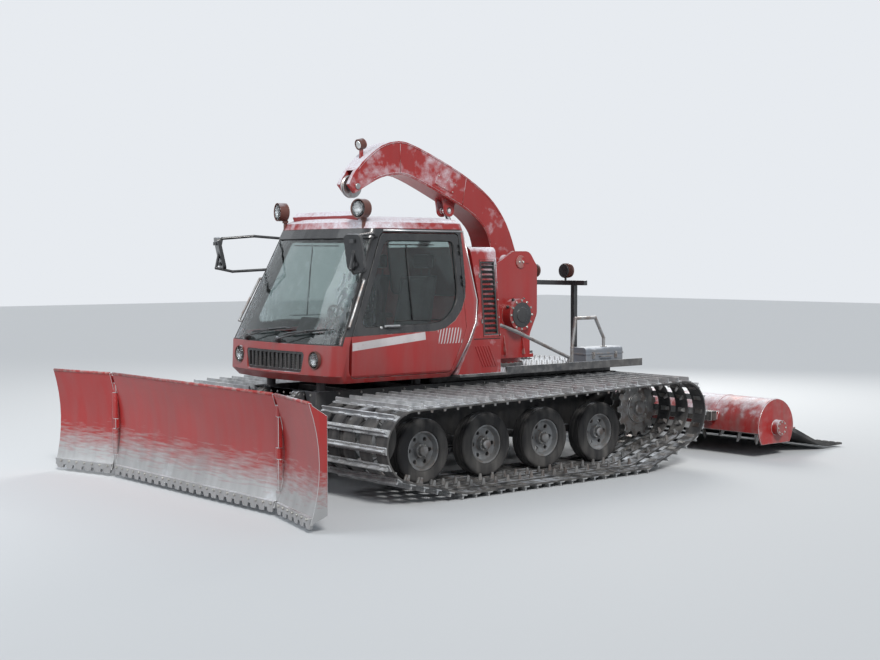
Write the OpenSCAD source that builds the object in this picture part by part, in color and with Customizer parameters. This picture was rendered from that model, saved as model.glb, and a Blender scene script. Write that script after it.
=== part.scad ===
// Snow groomer with a rope winch: two tracks, cab, winch with a boom over the roof,
// front blade with wings, rear tiller. X points forward, Y to the left, Z up from the snow.

/* [Running gear] */
// Radius of the road wheels, the idler and the sprocket's seat
wheel_r = 350; // [320:5:352]
// Width of a tyre
tyre_w = 210; // [150:10:240]
// Flat sides round a tyre, in fours so that a corner points down
tyre_sides = 28; // [20:4:36]
// Radius of a wheel's rim
rim_r = 215; // [190:5:240]
// Road wheels on a side
road_wheels = 4; // [3:1:4]
// Middle of the machine to the middle of a wheel
wheel_y = 1250; // [1200:10:1300]
// Rearmost road wheel
road_rear_x = -620; // [-640:10:-560]
// Foremost road wheel
road_front_x = 2080; // [2000:10:2080]
// Idler's axle, forward
idler_x = 2790; // [2780:5:2830]
// Idler's axle, height
idler_z = 600; // [560:10:640]
// Sprocket's axle, forward
sprocket_x = -1300; // [-1350:10:-1290]
// Sprocket's axle, height
sprocket_z = 660; // [600:10:680]
// Thickness of the rubber belts
belt_t = 18; // [14:1:24]
// Height of a cross bar on the belts
bar_h = 55; // [40:5:60]
// Cross bars on a track
bar_count = 60; // [48:2:64]
// Width of a cross bar's foot, along the belt
bar_foot = 76; // [60:2:84]
// Width of a track
track_w = 1260; // [1000:20:1300]
// Middle of the machine to the inner edge of a track
track_in_y = 820; // [780:10:860]

/* [Hull] */
// Half width of the hull
hull_half_w = 600; // [560:10:620]
// Height of the hull's floor
hull_low_z = 400; // [360:10:450]
// Height of the hull's top
hull_top_z = 1050; // [1030:5:1060]
// Front of the hull
hull_front_x = 2950; // [2920:10:2960]
// Rear of the hull
hull_rear_x = -1700; // [-1720:10:-1680]
// Thickness of the hull's plates
plate_t = 20; // [12:2:24]

/* [Cab] */
// Height of the cab's underside
cab_low_z = 1160; // [1130:5:1160]
// Thickness of the cab's walls and doors
cab_wall = 50; // [40:2:60]
// Height of the windscreen's upper edge
screen_top_z = 2690; // [2640:10:2700]
// Height of the windscreen's lower edge
screen_low_z = 1560; // [1540:10:1600]
// Width of the front pillars
pillar_w = 95; // [70:5:120]
// Windscreen back to the front edge of a door
door_setback = 270; // [250:5:300]
// Hinge line of the doors
door_rear_x = 1200; // [1180:5:1220]
// Lower edge of the doors
door_low_z = 1215; // [1215:5:1240]
// Upper edge of the doors
door_top_z = 2740; // [2720:5:2750]
// Gap round a door
door_gap = 6; // [5:1:10]
// Thickness of the glass
glass_t = 8; // [5:1:10]

/* [Winch] */
// Slewing axis of the winch
slew_x = -50; // [-60:5:-40]
// Top of the deck that carries the winch
deck_z = 1170; // [1165:5:1180]
// Height of the drum's axle
drum_z = 1800; // [1780:5:1820]
// Radius of the drum's flanges
drum_r = 330; // [300:5:340]
// Middle of the winch to the inner side of a cheek
cheek_y = 420; // [400:5:430]
// Thickness of the cheeks
cheek_t = 40; // [30:2:44]
// Half width of the boom
boom_half_w = 170; // [130:5:180]
// Half width of the boom at its tip
boom_tip_half_w = 115; // [100:5:130]

/* [Blade] */
// Half length of the blade's middle section
blade_half_w = 1620; // [1500:10:1650]
// Length of a wing
wing_l = 950; // [800:10:1000]
// Angle of the wings, forward
wing_turn = 15; // [5:1:20]
// Height of the blade's edge over the snow
blade_low_z = 40; // [40:5:60]
// Height of the blade's upper edge
blade_top_z = 1180; // [1100:10:1180]
// Depth of the blade's hollow face
blade_sag = 100; // [80:5:110]
// Spacing of the teeth on the cutting edge
tooth_pitch = 150; // [100:10:180]

/* [Tiller] */
// Half width of the tiller
tiller_half_w = 2150; // [2000:10:2200]
// Radius of the rotor's teeth
rotor_r = 250; // [220:5:255]
// Rotor's axle, forward
rotor_x = -2950; // [-3000:10:-2940]
// Rotor's axle, height
rotor_z = 370; // [360:5:380]

/* [Hidden] */
$fn = 48;
// Clearance of a pin or a bearing in its seat
play = 0.3;

red = "firebrick";
dark = "#24262a";
steel = "#8d9196";
black = "#17181a";
pale = "gainsboro";

// Plane geometry

function unit(v) = v / norm(v);

// Points of a round corner at b, radius r, between the neighbours a and c
function corner(a, b, c, r, n = 5) = r <= 0 ? [b] :
    let (u = unit(a - b), v = unit(c - b), half = acos(max(-1, min(1, u * v))) / 2,
        m = b + unit(u + v) * r / sin(half), s = b + u * r / tan(half), e = b + v * r / tan(half),
        a0 = atan2(s[1] - m[1], s[0] - m[0]), a1 = atan2(e[1] - m[1], e[0] - m[0]),
        d = (a1 - a0 + 540) % 360 - 180)
    [for (i = [0:n]) m + r * [cos(a0 + d * i / n), sin(a0 + d * i / n)]];

// Outline with round corners, rows are x, y, corner radius
function rounded(p) = let (n = len(p), q = [for (c = p) [c[0], c[1]]])
    [for (i = [0:n - 1]) for (k = corner(q[(i + n - 1) % n], q[i], q[(i + 1) % n], p[i][2])) k];

// Flat outline in X and Z, spread along Y
module along_y(y0, y1) translate([0, y1, 0]) rotate([90, 0, 0]) linear_extrude(y1 - y0) children();

// Flat outline in Y and Z, spread along X
module along_x(x0, x1) translate([x0, 0, 0]) rotate([90, 0, 90]) linear_extrude(x1 - x0) children();

// The piece and its mirror image on the right-hand side
module both() {
    children();
    mirror([0, 1, 0]) children();
}

// Turned so that its Z points along d
module along(d) rotate([0, acos(d[2] / norm(d)), atan2(d[1], d[0])]) children();

// Round bar from a to b
module bar(a, b, r) translate(a) along(b - a) cylinder(h = norm(b - a), r = r, $fn = 24);

// Bent tube through points, with a round knee at each bend
module tube(path, r) {
    for (i = [0:len(path) - 2]) bar(path[i], path[i + 1], r);
    for (i = [1:1:len(path) - 2]) translate(path[i]) along(path[i + 1] - path[i]) sphere(r = r * 1.12, $fn = 24);
}

// Flat link between two eyes, in X and Z, its eyes' radii ra and rb
module link_outline(a, b, ra, rb) {
    n = unit([b[1] - a[1], a[0] - b[0]]);
    translate(a) circle(r = ra);
    translate(b) circle(r = rb);
    polygon([a + n * ra * 0.95, b + n * rb * 0.95, b - n * rb * 0.95, a - n * ra * 0.95]);
}

// Box from its low corner to its high corner
module block(low, high) translate(low) cube(high - low);

// Body through rings of points, counter-clockwise from above, lowest ring first
module loft(rings) {
    n = len(rings[0]);
    top = len(rings) - 1;
    polyhedron(points = [for (r = rings) for (p = r) p],
        faces = concat([[for (i = [0:n - 1]) i]], [[for (i = [0:n - 1]) top * n + n - 1 - i]],
            [for (k = [0:top - 1]) for (i = [0:n - 1]) let (j = (i + 1) % n)
                [k * n + i, (k + 1) * n + i, (k + 1) * n + j]],
            [for (k = [0:top - 1]) for (i = [0:n - 1]) let (j = (i + 1) % n)
                [k * n + i, (k + 1) * n + j, k * n + j]]));
}

// Track loop round the four outer wheels

wheel_z = wheel_r + belt_t + bar_h;
loop_centres = [[sprocket_x, sprocket_z], [road_rear_x, wheel_z], [road_front_x, wheel_z], [idler_x, idler_z]];
loop_step = 12;
function side_from(i) = loop_centres[i % 4];
function side_run(i) = loop_centres[(i + 1) % 4] - side_from(i);
function heading(i) = atan2(side_run(i)[1], side_run(i)[0]);
function turn_after(i) = (heading((i + 1) % 4) - heading(i) + 720) % 360;
function arc_after(i, r) = turn_after(i) * PI / 180 * r;
function loop_length(r, i = 0) = i > 3 ? 0 : norm(side_run(i)) + arc_after(i, r) + loop_length(r, i + 1);

// Place and heading at the distance s along the loop that runs r outside the axles
function loop_at(s, r, i = 0) = let (l = norm(side_run(i)), a = arc_after(i, r), h = heading(i))
    s <= l ? [side_from(i) + unit(side_run(i)) * s + r * [sin(h), -cos(h)], h] :
    s <= l + a || i == 3 ? let (g = h + (s - l) / r * 180 / PI) [side_from(i + 1) + r * [sin(g), -cos(g)], g] :
    loop_at(s - l - a, r, i + 1);

// Line of tangents r outside the axles
function loop_line(r) = [for (i = [0:3]) let (n = ceil(turn_after(i) / loop_step), st = turn_after(i) / n)
    for (j = [0:n - 1]) let (h = heading(i) + st * (j + 0.5))
        side_from(i + 1) + r / cos(st / 2) * [sin(h), -cos(h)]];

module track_outline() {
    belt_out = wheel_r + belt_t;
    seat = 6;
    difference() {
        polygon(loop_line(belt_out));
        polygon(loop_line(wheel_r));
    }
    for (k = [0:bar_count - 1]) {
        at = loop_at((k + 0.5) * loop_length(belt_out) / bar_count, belt_out);
        translate(at[0]) rotate(at[1])
            polygon([[-bar_foot / 2, seat], [-bar_foot / 2, -8], [-9, -bar_h], [9, -bar_h],
                [bar_foot / 2, -8], [bar_foot / 2, seat]]);
    }
}

module track() color(black) along_y(track_in_y, track_in_y + track_w) track_outline();

// Wheels, sprockets and what carries them

tyre_r = wheel_r - play;
axle_r = 45;
hub_r = 80;
road_xs = [for (i = [0:road_wheels - 1]) road_rear_x + i * (road_front_x - road_rear_x) / (road_wheels - 1)];
wheel_centres = concat([for (x = road_xs) [x, wheel_z]], [[idler_x, idler_z]]);

module on_wheels() both() for (c = wheel_centres) translate([c[0], wheel_y, c[1]]) rotate([90, 0, 0]) children();

// Each tyre is turned from a section with straight flanks; a corner of it stands on the belt
module tyres() color(black) on_wheels() {
    bead = rim_r / cos(180 / tyre_sides);
    section = [[bead, tyre_w / 2 - 12], [tyre_r, tyre_w / 2 - 22], [tyre_r, -tyre_w / 2 + 22], [bead, -tyre_w / 2 + 12]];
    polyhedron(
        [for (i = [0:tyre_sides - 1]) for (p = section) let (a = 360 * i / tyre_sides) [p[0] * cos(a), p[0] * sin(a), p[1]]],
        [for (i = [0:tyre_sides - 1]) for (k = [0:3]) let (j = (i + 1) % tyre_sides, m = (k + 1) % 4)
            [i * 4 + k, j * 4 + k, j * 4 + m, i * 4 + m]]);
}

module wheel_rims() color(steel) on_wheels() {
    half = tyre_w / 2 - 20;
    difference() {
        rotate_extrude() polygon([[axle_r + play, -70], [hub_r, -70], [hub_r, -12], [rim_r - 40, -30],
            [rim_r - 18, -half], [rim_r - play, -half], [rim_r - play, half], [rim_r - 18, half],
            [rim_r - 40, -10], [hub_r, 12], [hub_r, 70], [axle_r + play, 70]]);
        for (a = [0:60:300]) rotate(a) translate([(hub_r + rim_r) / 2 - 10, 0, -60]) cylinder(h = 120, r = 22, $fn = 24);
    }
}

module axles() color(dark) both() {
    arm_y = hull_half_w;
    arm_t = 50;
    for (c = wheel_centres) {
        pivot = [c[0] + 230, min(c[1] + 90, idler_z + 40)];
        along_y(arm_y + 40, arm_y + 40 + arm_t) link_outline(pivot, c, 75, 70);
        translate([pivot[0], arm_y + 90, pivot[1]]) rotate([90, 0, 0]) cylinder(h = 90, r = 60);
        translate([c[0], wheel_y + 60, c[1]]) rotate([90, 0, 0]) cylinder(h = wheel_y + 20 - arm_y - 40, r = axle_r);
    }
    translate([sprocket_x, wheel_y + 60, sprocket_z]) rotate([90, 0, 0])
        cylinder(h = wheel_y + 60 - arm_y, r = axle_r);
    translate([sprocket_x, arm_y + 320, sprocket_z]) rotate([90, 0, 0]) cylinder(h = 320, r = 165);
}

sprocket_teeth = 13;

module sprockets() color(steel) both() translate([sprocket_x, wheel_y, sprocket_z]) rotate([90, 0, 0]) difference() {
    union() {
        for (z = [-75, 55]) translate([0, 0, z]) linear_extrude(20) polygon([for (i = [0:sprocket_teeth - 1])
            for (p = [[-9, wheel_r - 55], [-5, wheel_r - 4], [5, wheel_r - 4], [9, wheel_r - 55]])
                p[1] * [cos(i * 360 / sprocket_teeth + p[0]), sin(i * 360 / sprocket_teeth + p[0])]]);
        cylinder(h = 200, r = 180, center = true);
    }
    cylinder(h = 240, r = axle_r + play, center = true);
}

// Hull

hull_outline = [[hull_front_x, hull_low_z + 220], [hull_front_x, hull_top_z], [hull_rear_x, hull_top_z],
    [hull_rear_x, hull_low_z + 200], [hull_rear_x + 400, hull_low_z], [hull_front_x - 450, hull_low_z]];
hull_inside = [[hull_front_x - plate_t, hull_low_z + 225], [hull_front_x - plate_t, hull_top_z + 10],
    [hull_rear_x + plate_t, hull_top_z + 10], [hull_rear_x + plate_t, hull_low_z + 210],
    [hull_rear_x + 405, hull_low_z + plate_t], [hull_front_x - 455, hull_low_z + plate_t]];

// Blade and tiller lift: hinge of the frame, foot of the ram, eye of the rod
blade_hinge = [3010, 620];
// Rear face of the blade frame's cross beam
cross_x = 3380;
blade_ram_foot = [3010, 1000];
blade_ram_eye = [cross_x + 100, 660];
tiller_hinge = [-1760, 620];
tiller_ram_foot = [-1770, 990];
tiller_ram_eye = [-2300, 640];
ram_y = 330;
frame_y = 470;
pin_r = 24;

module hull() color(red) {
    difference() {
        along_y(-hull_half_w, hull_half_w) polygon(hull_outline);
        along_y(plate_t - hull_half_w, hull_half_w - plate_t) polygon(hull_inside);
    }
    // Cross members inside
    for (x = [-1100, 500, 1400, 2300]) block([x, plate_t - hull_half_w - 5, hull_top_z - 80],
        [x + 60, hull_half_w - plate_t + 5, hull_top_z - 20]);
    // Rubber-bushed feet of the cab
    for (x = [1480, 2800], y = [-480, 480]) {
        block([x - 60, y - 60, hull_top_z - 60], [x + 60, y + 60, hull_top_z]);
        translate([x, y, hull_top_z - 5]) cylinder(h = cab_low_z - hull_top_z + 5, r = 50);
        block([x - 60, y > 0 ? y + 60 : 5 - hull_half_w, hull_top_z - 60],
            [x + 60, y > 0 ? hull_half_w - 5 : y - 60, hull_top_z - 30]);
    }
    // Ears of the blade frame and of the lift rams, then the same at the rear
    both() {
        eye_plates(blade_hinge, hull_front_x, frame_y, 62);
        eye_plates(blade_ram_foot, hull_front_x, ram_y, 32);
        eye_plates(tiller_hinge, hull_rear_x, frame_y, 62);
        eye_plates(tiller_ram_foot, hull_rear_x, ram_y, 32);
    }
    // Towing eye between the blade's ears
    difference() {
        block([hull_front_x - 5, -70, hull_low_z + 300], [hull_front_x + 120, 70, hull_low_z + 330]);
        translate([hull_front_x + 70, 0, hull_low_z + 290]) cylinder(h = 50, r = 22);
    }
}

// Two ears with a pin between them, their inner faces half a width from y
module eye_plates(c, wall_x, y, half) {
    side = sign(c[0] - wall_x);
    for (s = [-1, 1]) along_y(min(y + s * half, y + s * (half + 20)), max(y + s * half, y + s * (half + 20))) {
        translate(c) circle(r = 48);
        polygon([[wall_x - side * 5, c[1] - 70], [c[0], c[1] - 46], [c[0], c[1] + 46],
            [wall_x - side * 5, min(c[1] + 70, hull_top_z - 2)]]);
    }
    translate([c[0], y + half + 30, c[1]]) rotate([90, 0, 0]) cylinder(h = 2 * half + 60, r = pin_r);
}

module engine_block() color(steel) block([-950, -380, hull_low_z + plate_t], [350, 380, 1030]);

// Cab shell: height, front, rear, half width, inset of the roof
cab_levels = [
    [cab_low_z, 3060, 1340, 985, 0],
    [1240, 3125, 1300, 1030, 0],
    [1560, 3101, 1105, 1045, 0],
    [1760, 3009, 985, 1017, 0],
    [2000, 2898, 940, 983, 0],
    [2800, 2528, 1064, 870, 0],
    [2862, 2528, 1064, 870, 22],
    [2902, 2528, 1064, 870, 85],
    [2928, 2528, 1064, 870, 260]];
front_corner = 150;
rear_corner = 120;
front_bow = 90;
cab_split_z = 2792;
lean = atan((1045 - 870) / (2800 - 1560));

// One ring of the shell, drawn in by a wall
function cab_ring(l, z, wall) = let (rear = l[2] + l[4] * 0.5 + wall, front = l[1] - l[4] - wall, half = l[3] - l[4] - wall,
        rf = front_corner - wall, rr = rear_corner - wall)
    concat(
        [for (i = [0:3]) [rear + rr + rr * cos(180 + i * 30), -half + rr + rr * sin(180 + i * 30), z]],
        [for (i = [0:5]) [front - front_bow - rf + rf * cos(270 + i * 15), -half + rf + rf * sin(270 + i * 15), z]],
        [for (t = [-0.6, -0.2, 0.2, 0.6]) [front - front_bow * t * t, t * (half - rf), z]],
        [for (i = [0:5]) [front - front_bow - rf + rf * cos(15 + i * 15), half - rf + rf * sin(15 + i * 15), z]],
        [for (i = [0:3]) [rear + rr + rr * cos(90 + i * 30), half - rr + rr * sin(90 + i * 30), z]]);

// The shell's solid, drawn in by a wall on every side
module cab_solid(wall) {
    last = len(cab_levels) - 1;
    loft([for (i = [0:last]) let (l = cab_levels[i])
        cab_ring(l, i == 0 ? l[0] + wall : i == last ? l[0] - wall : i > 5 ? l[0] - wall : l[0], wall)]);
}

module cab_shell() difference() {
    cab_solid(0);
    cab_solid(cab_wall);
}

// Front of the shell at a height, and the edge of the doors and the windscreen behind it
function front_at(z) = lookup(z, [for (l = cab_levels) [l[0], l[1]]]);
function half_at(z) = lookup(z, [for (l = cab_levels) [l[0], l[3]]]);
function door_front_at(z) = front_at(max(z, screen_low_z)) - door_setback;

// Dark upper part of the cab and of the doors
module dark_zone(z1) along_y(-1300, 1300) polygon(rounded([[1150, 1690, 520], [3300, 1640, 0], [3300, z1, 0], [1150, z1, 0]]));

head_gap = 8;
function door_outline(out, head = 0) = rounded([
    [door_rear_x - out, 1700, 60], [1440 - out, door_low_z - out, 60],
    [door_front_at(door_low_z) + out, door_low_z - out, 90 + out], [door_front_at(screen_low_z) + out, screen_low_z, 200],
    [door_front_at(door_top_z) + out, door_top_z + out + head, 90 + out],
    [door_rear_x - out, door_top_z + out + head, 50 + out]]);

module doorways() both() along_y(600, 1300) polygon(door_outline(door_gap, head_gap));

module windscreen_zone() along_y(-1300, 1300) polygon([
    [front_at(screen_low_z) - door_setback + pillar_w, screen_low_z],
    [3300, screen_low_z], [3300, screen_top_z], [front_at(screen_top_z) - door_setback + pillar_w, screen_top_z]]);

rear_window = rounded([[-620, 2040, 80], [620, 2040, 80], [580, 2690, 80], [-580, 2690, 80]]);
module rear_window_zone() along_x(900, 1400) polygon(rear_window);

headlamp_r = 95;
headlamp_y = 720;
headlamp_z = 1400;
grille_outline = rounded([[-520, 1260, 40], [520, 1260, 40], [560, 1480, 40], [-560, 1480, 40]]);

module cab_body() color(red) difference() {
    cab_shell();
    dark_zone(3000);
    doorways();
    windscreen_zone();
    block([0, -1300, cab_split_z], [3400, 1300, 3000]);
    rear_window_zone();
    both() translate([2900, headlamp_y, headlamp_z]) rotate([0, 90, 0]) cylinder(h = 400, r = headlamp_r);
    along_x(2900, 3300) polygon(grille_outline);
}

module cab_frame() color(dark) {
    difference() {
        intersection() {
            cab_shell();
            dark_zone(cab_split_z);
        }
        doorways();
        windscreen_zone();
    }
    both() door_hinges() {
        for (z = [0, knuckle_l * 2]) hinge_half(z, knuckle_l, -1);
        cylinder(h = knuckle_l * 3, r = door_pin_r);
    }
}

roof_top_z = cab_levels[len(cab_levels) - 1][0];
visor_x = 2290;

// Roof, with the low visor that stands across its front edge
module roof_panel() color(red) {
    intersection() {
        cab_shell();
        block([0, -1300, cab_split_z], [3400, 1300, 3000]);
    }
    difference() {
        along_y(-600, 600) polygon(rounded([[visor_x, roof_top_z - 40, 0], [visor_x + 110, roof_top_z - 40, 0],
            [visor_x + 130, roof_top_z + 10, 10], [visor_x + 60, roof_top_z + 62, 25], [visor_x, roof_top_z + 50, 10]]));
        cab_solid(cab_wall / 2);
    }
}

// Pane set in the middle of the wall's thickness
module glass_layer() difference() {
    cab_solid((cab_wall - glass_t) / 2);
    cab_solid((cab_wall + glass_t) / 2);
}

module cab_glass() color("lightblue", 0.4) {
    intersection() {
        glass_layer();
        windscreen_zone();
    }
    intersection() {
        glass_layer();
        rear_window_zone();
    }
}

// Doors: a slab that follows the leaning side of the cab

module door_slab(out, in) along_x(door_rear_x - 20, 2800) polygon(concat(
    [for (z = [door_low_z - 20, 1240, 1560, door_top_z + 20]) [half_at(z) - out, z]],
    [for (z = [door_top_z + 20, 1560, 1240, door_low_z - 20]) [half_at(z) - in, z]]));

// Hinges of a door: X forward, Y out of the leaning side, Z up along the pin
door_pin_out = 16;
door_pin_r = 6;
knuckle_l = 40;
leaf_w = 36;
hinge_steps = [610, 960];
module door_hinges() for (z = hinge_steps)
    translate([door_rear_x - door_gap / 2, half_at(screen_low_z) + door_pin_out / cos(lean), screen_low_z])
        rotate([lean, 0, 0]) translate([0, 0, z]) children();

// Knuckle with its leaf on the side, to the rear or to the front
module hinge_half(z, h, side) difference() {
    union() {
        translate([0, 0, z]) cylinder(h = h, r = door_pin_out - 2);
        translate([side > 0 ? 0 : -leaf_w, -door_pin_out - 3, z]) cube([leaf_w, 10, h]);
    }
    translate([0, 0, z - 1]) cylinder(h = h + 2, r = door_pin_r + (side > 0 ? play : -1));
    translate([side > 0 ? -20 : 3 - door_gap / 2, -door_pin_out - 20, z - 1])
        cube([20 + (side > 0 ? door_gap / 2 : 0), 20, h + 2]);
}

window_rim = 75;
module window_zone() along_y(600, 1300) polygon(rounded([
    [door_rear_x + window_rim, 1690 + window_rim, 400],
    [door_front_at(1740) - window_rim, 1655 + window_rim, 60],
    [door_front_at(door_top_z - window_rim) - window_rim, door_top_z - window_rim, 90],
    [door_rear_x + window_rim, door_top_z - window_rim, 60]]));

module door_leaf() intersection() {
    door_slab(0, cab_wall);
    along_y(600, 1300) polygon(door_outline(0));
}

module door_frame() color(dark) {
    difference() {
        intersection() {
            door_leaf();
            dark_zone(3000);
        }
        window_zone();
    }
    door_hinges() hinge_half(knuckle_l + play, knuckle_l - 2 * play, 1);
    // Handle
    bar([2150, half_at(1735) + 30, 1735], [2330, half_at(1735) + 30, 1735], 11);
    for (x = [2160, 2320]) bar([x, half_at(1735) - 10, 1735], [x, half_at(1735) + 30, 1735], 9);
}

module door_panel() color(red) difference() {
    door_leaf();
    dark_zone(3000);
}

module door_glass() color("lightblue", 0.4) intersection() {
    door_slab((cab_wall - glass_t) / 2, (cab_wall + glass_t) / 2);
    window_zone();
}

// Inside the cab

wheel_pos = [2480, 430, 1790];

module steering_column(r) bar(wheel_pos, wheel_pos + [240, 0, -180], r);

module dashboard() color(dark) difference() {
    along_y(-780, 780) polygon(rounded([[2780, cab_low_z + cab_wall, 0], [2880, cab_low_z + cab_wall, 0],
        [2930, 1500, 40], [2880, 1640, 60], [2640, 1650, 50], [2560, 1560, 40], [2700, 1480, 80]]));
    steering_column(25 + play);
}

seat_ys = [430, -430];
seat_x = 1420;
seat_pan_z = 1510;
head_pad_z = 2350;
// Front of the seat's back plate at a height
function seat_back_x(z) = seat_x + 60 - (z - seat_pan_z) * 0.208;

module seat_frames() color(dark) for (y = seat_ys) {
    block([seat_x + 60, y - 170, cab_low_z + cab_wall], [seat_x + 480, y + 170, 1480]);
    along_y(y - 200, y + 200) polygon([[seat_x + 20, 1480], [seat_x + 520, 1480], [seat_x + 520, seat_pan_z],
        [seat_back_x(seat_pan_z), seat_pan_z], [seat_back_x(2280), 2280], [seat_back_x(2280) - 30, 2280]]);
    for (s = [-1, 1]) translate([seat_x - 114, y + s * 70, 2270]) cylinder(h = head_pad_z - 2270, r = 9);
}

module seat_pads() color("#3a3d42") for (y = seat_ys) {
    along_y(y - 250, y + 250) polygon(rounded([[seat_x + 75, seat_pan_z + play, 20], [seat_x + 580, seat_pan_z + play, 40],
        [seat_x + 580, 1640, 60], [seat_x + 60, 1620, 30]]));
    along_y(y - 250, y + 250) polygon(rounded([[seat_back_x(1560) + play, 1560, 20], [seat_x + 190, 1660, 50],
        [seat_x + 50, 2300, 50], [seat_back_x(2270) + play, 2270, 20]]));
    along_y(y - 150, y + 150) polygon(rounded([[seat_x - 140, head_pad_z, 10], [seat_x - 20, head_pad_z, 40], [seat_x - 40, 2530, 50],
        [seat_x - 140, 2530, 30]]));
}

module steering_wheel() color(black) {
    translate(wheel_pos) rotate([0, -58, 0]) {
        rotate_extrude() translate([195, 0]) circle(r = 16, $fn = 24);
        for (a = [90, 210, 330]) rotate(a) bar([0, 0, 0], [190, 0, 0], 10);
        cylinder(h = 50, r = 45, center = true);
    }
    steering_column(25);
}

// Outside of the cab

module front_grille() color(black) {
    x0 = 3045;
    difference() {
        along_x(x0, x0 + 25) polygon(grille_outline);
        for (y = [-480:80:480]) along_x(x0 - 5, x0 + 40) polygon([[y - 28, 1290], [y + 28, 1290], [y + 28, 1450], [y - 28, 1450]]);
    }
}

roof_lamp = [2400, 745, 3002];
roof_lamp_r = 105;

module lamps() {
    color(pale) both() translate([2960, headlamp_y, headlamp_z]) rotate([0, 90, 0]) cylinder(h = 110, r = headlamp_r - play);
    both() translate(roof_lamp) rotate([0, 90, 12]) {
        color("saddlebrown") difference() {
            cylinder(h = 120, r = roof_lamp_r);
            translate([0, 0, 100]) cylinder(h = 30, r = roof_lamp_r - 12);
        }
        color(pale) translate([0, 0, 100]) cylinder(h = 8, r = roof_lamp_r - 12);
    }
    color(dark) difference() {
        both() translate([roof_lamp[0] + 20, roof_lamp[1], cab_split_z])
            cylinder(h = roof_lamp[2] - roof_lamp_r + 5 - cab_split_z, r = 22);
        cab_solid(0);
    }
}

module beacon() color("royalblue") translate([2190, 350, roof_top_z]) {
    cylinder(h = 50, r = 60);
    translate([0, 0, 50]) cylinder(h = 90, r = 48);
    translate([0, 0, 140]) cylinder(h = 12, r1 = 48, r2 = 30);
}

module mirrors() color(dark) {
    difference() {
        both() tube([[2340, 870, 2700], [2600, 1130, 2730], [2930, 1300, 2700], [3010, 1300, 2360], [2870, 1170, 2320],
            [2520, 915, 2345]], 16);
        cab_solid(0);
    }
    both() translate([2955, 1300, 2530]) rotate([0, 12, 20]) along_x(-20, 20) polygon(rounded([[-105, -190, 50], [105, -190, 50],
        [105, 190, 50], [-105, 190, 50]]));
}

// Behind the cab

cooler_rear_x = 610;
cooler_top_z = 2600;
cooler_low_half = 950;
cooler_top_half = 855;
cooler_waist_z = 1560;
cooler_lean = atan((cooler_low_half - cooler_top_half) / (cooler_top_z - cooler_waist_z));
cooler_grille = [[640, 1640], [860, 1640], [860, 2480], [640, 2480]];

module cooling_box() color(red) difference() {
    intersection() {
        along_y(-cooler_low_half, cooler_low_half) polygon([[cooler_rear_x, deck_z], [1260, deck_z], [1080, 1500], [955, 1740],
            [910, 2000], [1000, cooler_top_z], [cooler_rear_x, cooler_top_z]]);
        along_x(cooler_rear_x - 5, 1400) polygon(rounded([[-cooler_low_half, deck_z, 0], [cooler_low_half, deck_z, 0],
            [cooler_low_half, cooler_waist_z, 0], [cooler_top_half, cooler_top_z, 70],
            [-cooler_top_half, cooler_top_z, 70], [-cooler_low_half, cooler_waist_z, 0]]));
    }
    both() grille_place() translate([640, -30, 40]) cube([220, 40, 840]);
}

// Frame of the cooling box's side: origin at the waist, Z up the leaning face, Y out of it
module grille_place() translate([0, cooler_low_half, cooler_waist_z]) rotate([cooler_lean, 0, 0]) children();

module cooler_grilles() color(black) both() grille_place() {
    difference() {
        translate([640, -28, 40]) cube([220, 26, 840]);
        translate([658, -40, 58]) cube([184, 60, 804]);
    }
    for (z = [80:56:840]) translate([652, -24, z]) rotate([-35, 0, 0]) cube([196, 6, 34]);
}

module exhaust() color(steel) {
    pipe_r = 62;
    difference() {
        union() {
            translate([400, -730, deck_z]) cylinder(h = 2600 - deck_z, r = pipe_r);
            translate([400, -730, 2600]) rotate([0, -35, 0]) cylinder(h = 190, r = pipe_r);
            translate([400, -730, 2600]) sphere(r = pipe_r * 1.03);
            translate([400, -730, 1500]) cylinder(h = 700, r = 100);
        }
        translate([400, -730, 2600]) rotate([0, -35, 0]) cylinder(h = 200, r = pipe_r - 6);
    }
    for (z = [1650, 2050]) block([480, -755, z], [cooler_rear_x, -705, z + 40]);
}

module platform() color(dark) {
    difference() {
        block([-1750, -1000, deck_z - 30], [1270, 1000, deck_z]);
        for (x = [-1600, -1300], y = [-300, 300]) translate([x, y, deck_z - 40]) cylinder(h = 60, r = 9);
    }
    for (y = [-520, 460]) block([-1680, y, hull_top_z], [1270, y + 60, deck_z - 30]);
    both() block([-1750, 975, deck_z], [560, 1000, deck_z + 60]);
    // Fixed ring of the slewing bearing
    translate([slew_x, 0, deck_z]) cylinder(h = 40, r = 430);
}

box_top_z = 1390;
module side_boxes() color("slategray") both() along_x(-1430, -780) polygon(rounded([[700, deck_z, 0], [960, deck_z, 0],
    [960, box_top_z, 40], [700, box_top_z, 40]]));

rack_x = -1090;
rack_z = 2170;

module rear_rack() color(dark) {
    for (y = [-450, 450]) {
        block([rack_x - 30, y - 30, deck_z + play], [rack_x + 30, y + 30, rack_z - 30]);
        block([rack_x - 70, y - 70, deck_z], [rack_x + 70, y + 70, deck_z + 15]);
        translate([rack_x, y > 0 ? 300 : -300, rack_z + 25]) cylinder(h = 60, r = 14);
        translate([rack_x - 60, y > 0 ? 300 : -300, rack_z + 150]) rotate([0, 90, 0]) cylinder(h = 100, r = 85);
    }
    block([rack_x - 30, -650, rack_z - 30], [rack_x + 30, 650, rack_z + 30]);
}

rail_y = cooler_low_half - 60;

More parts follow.
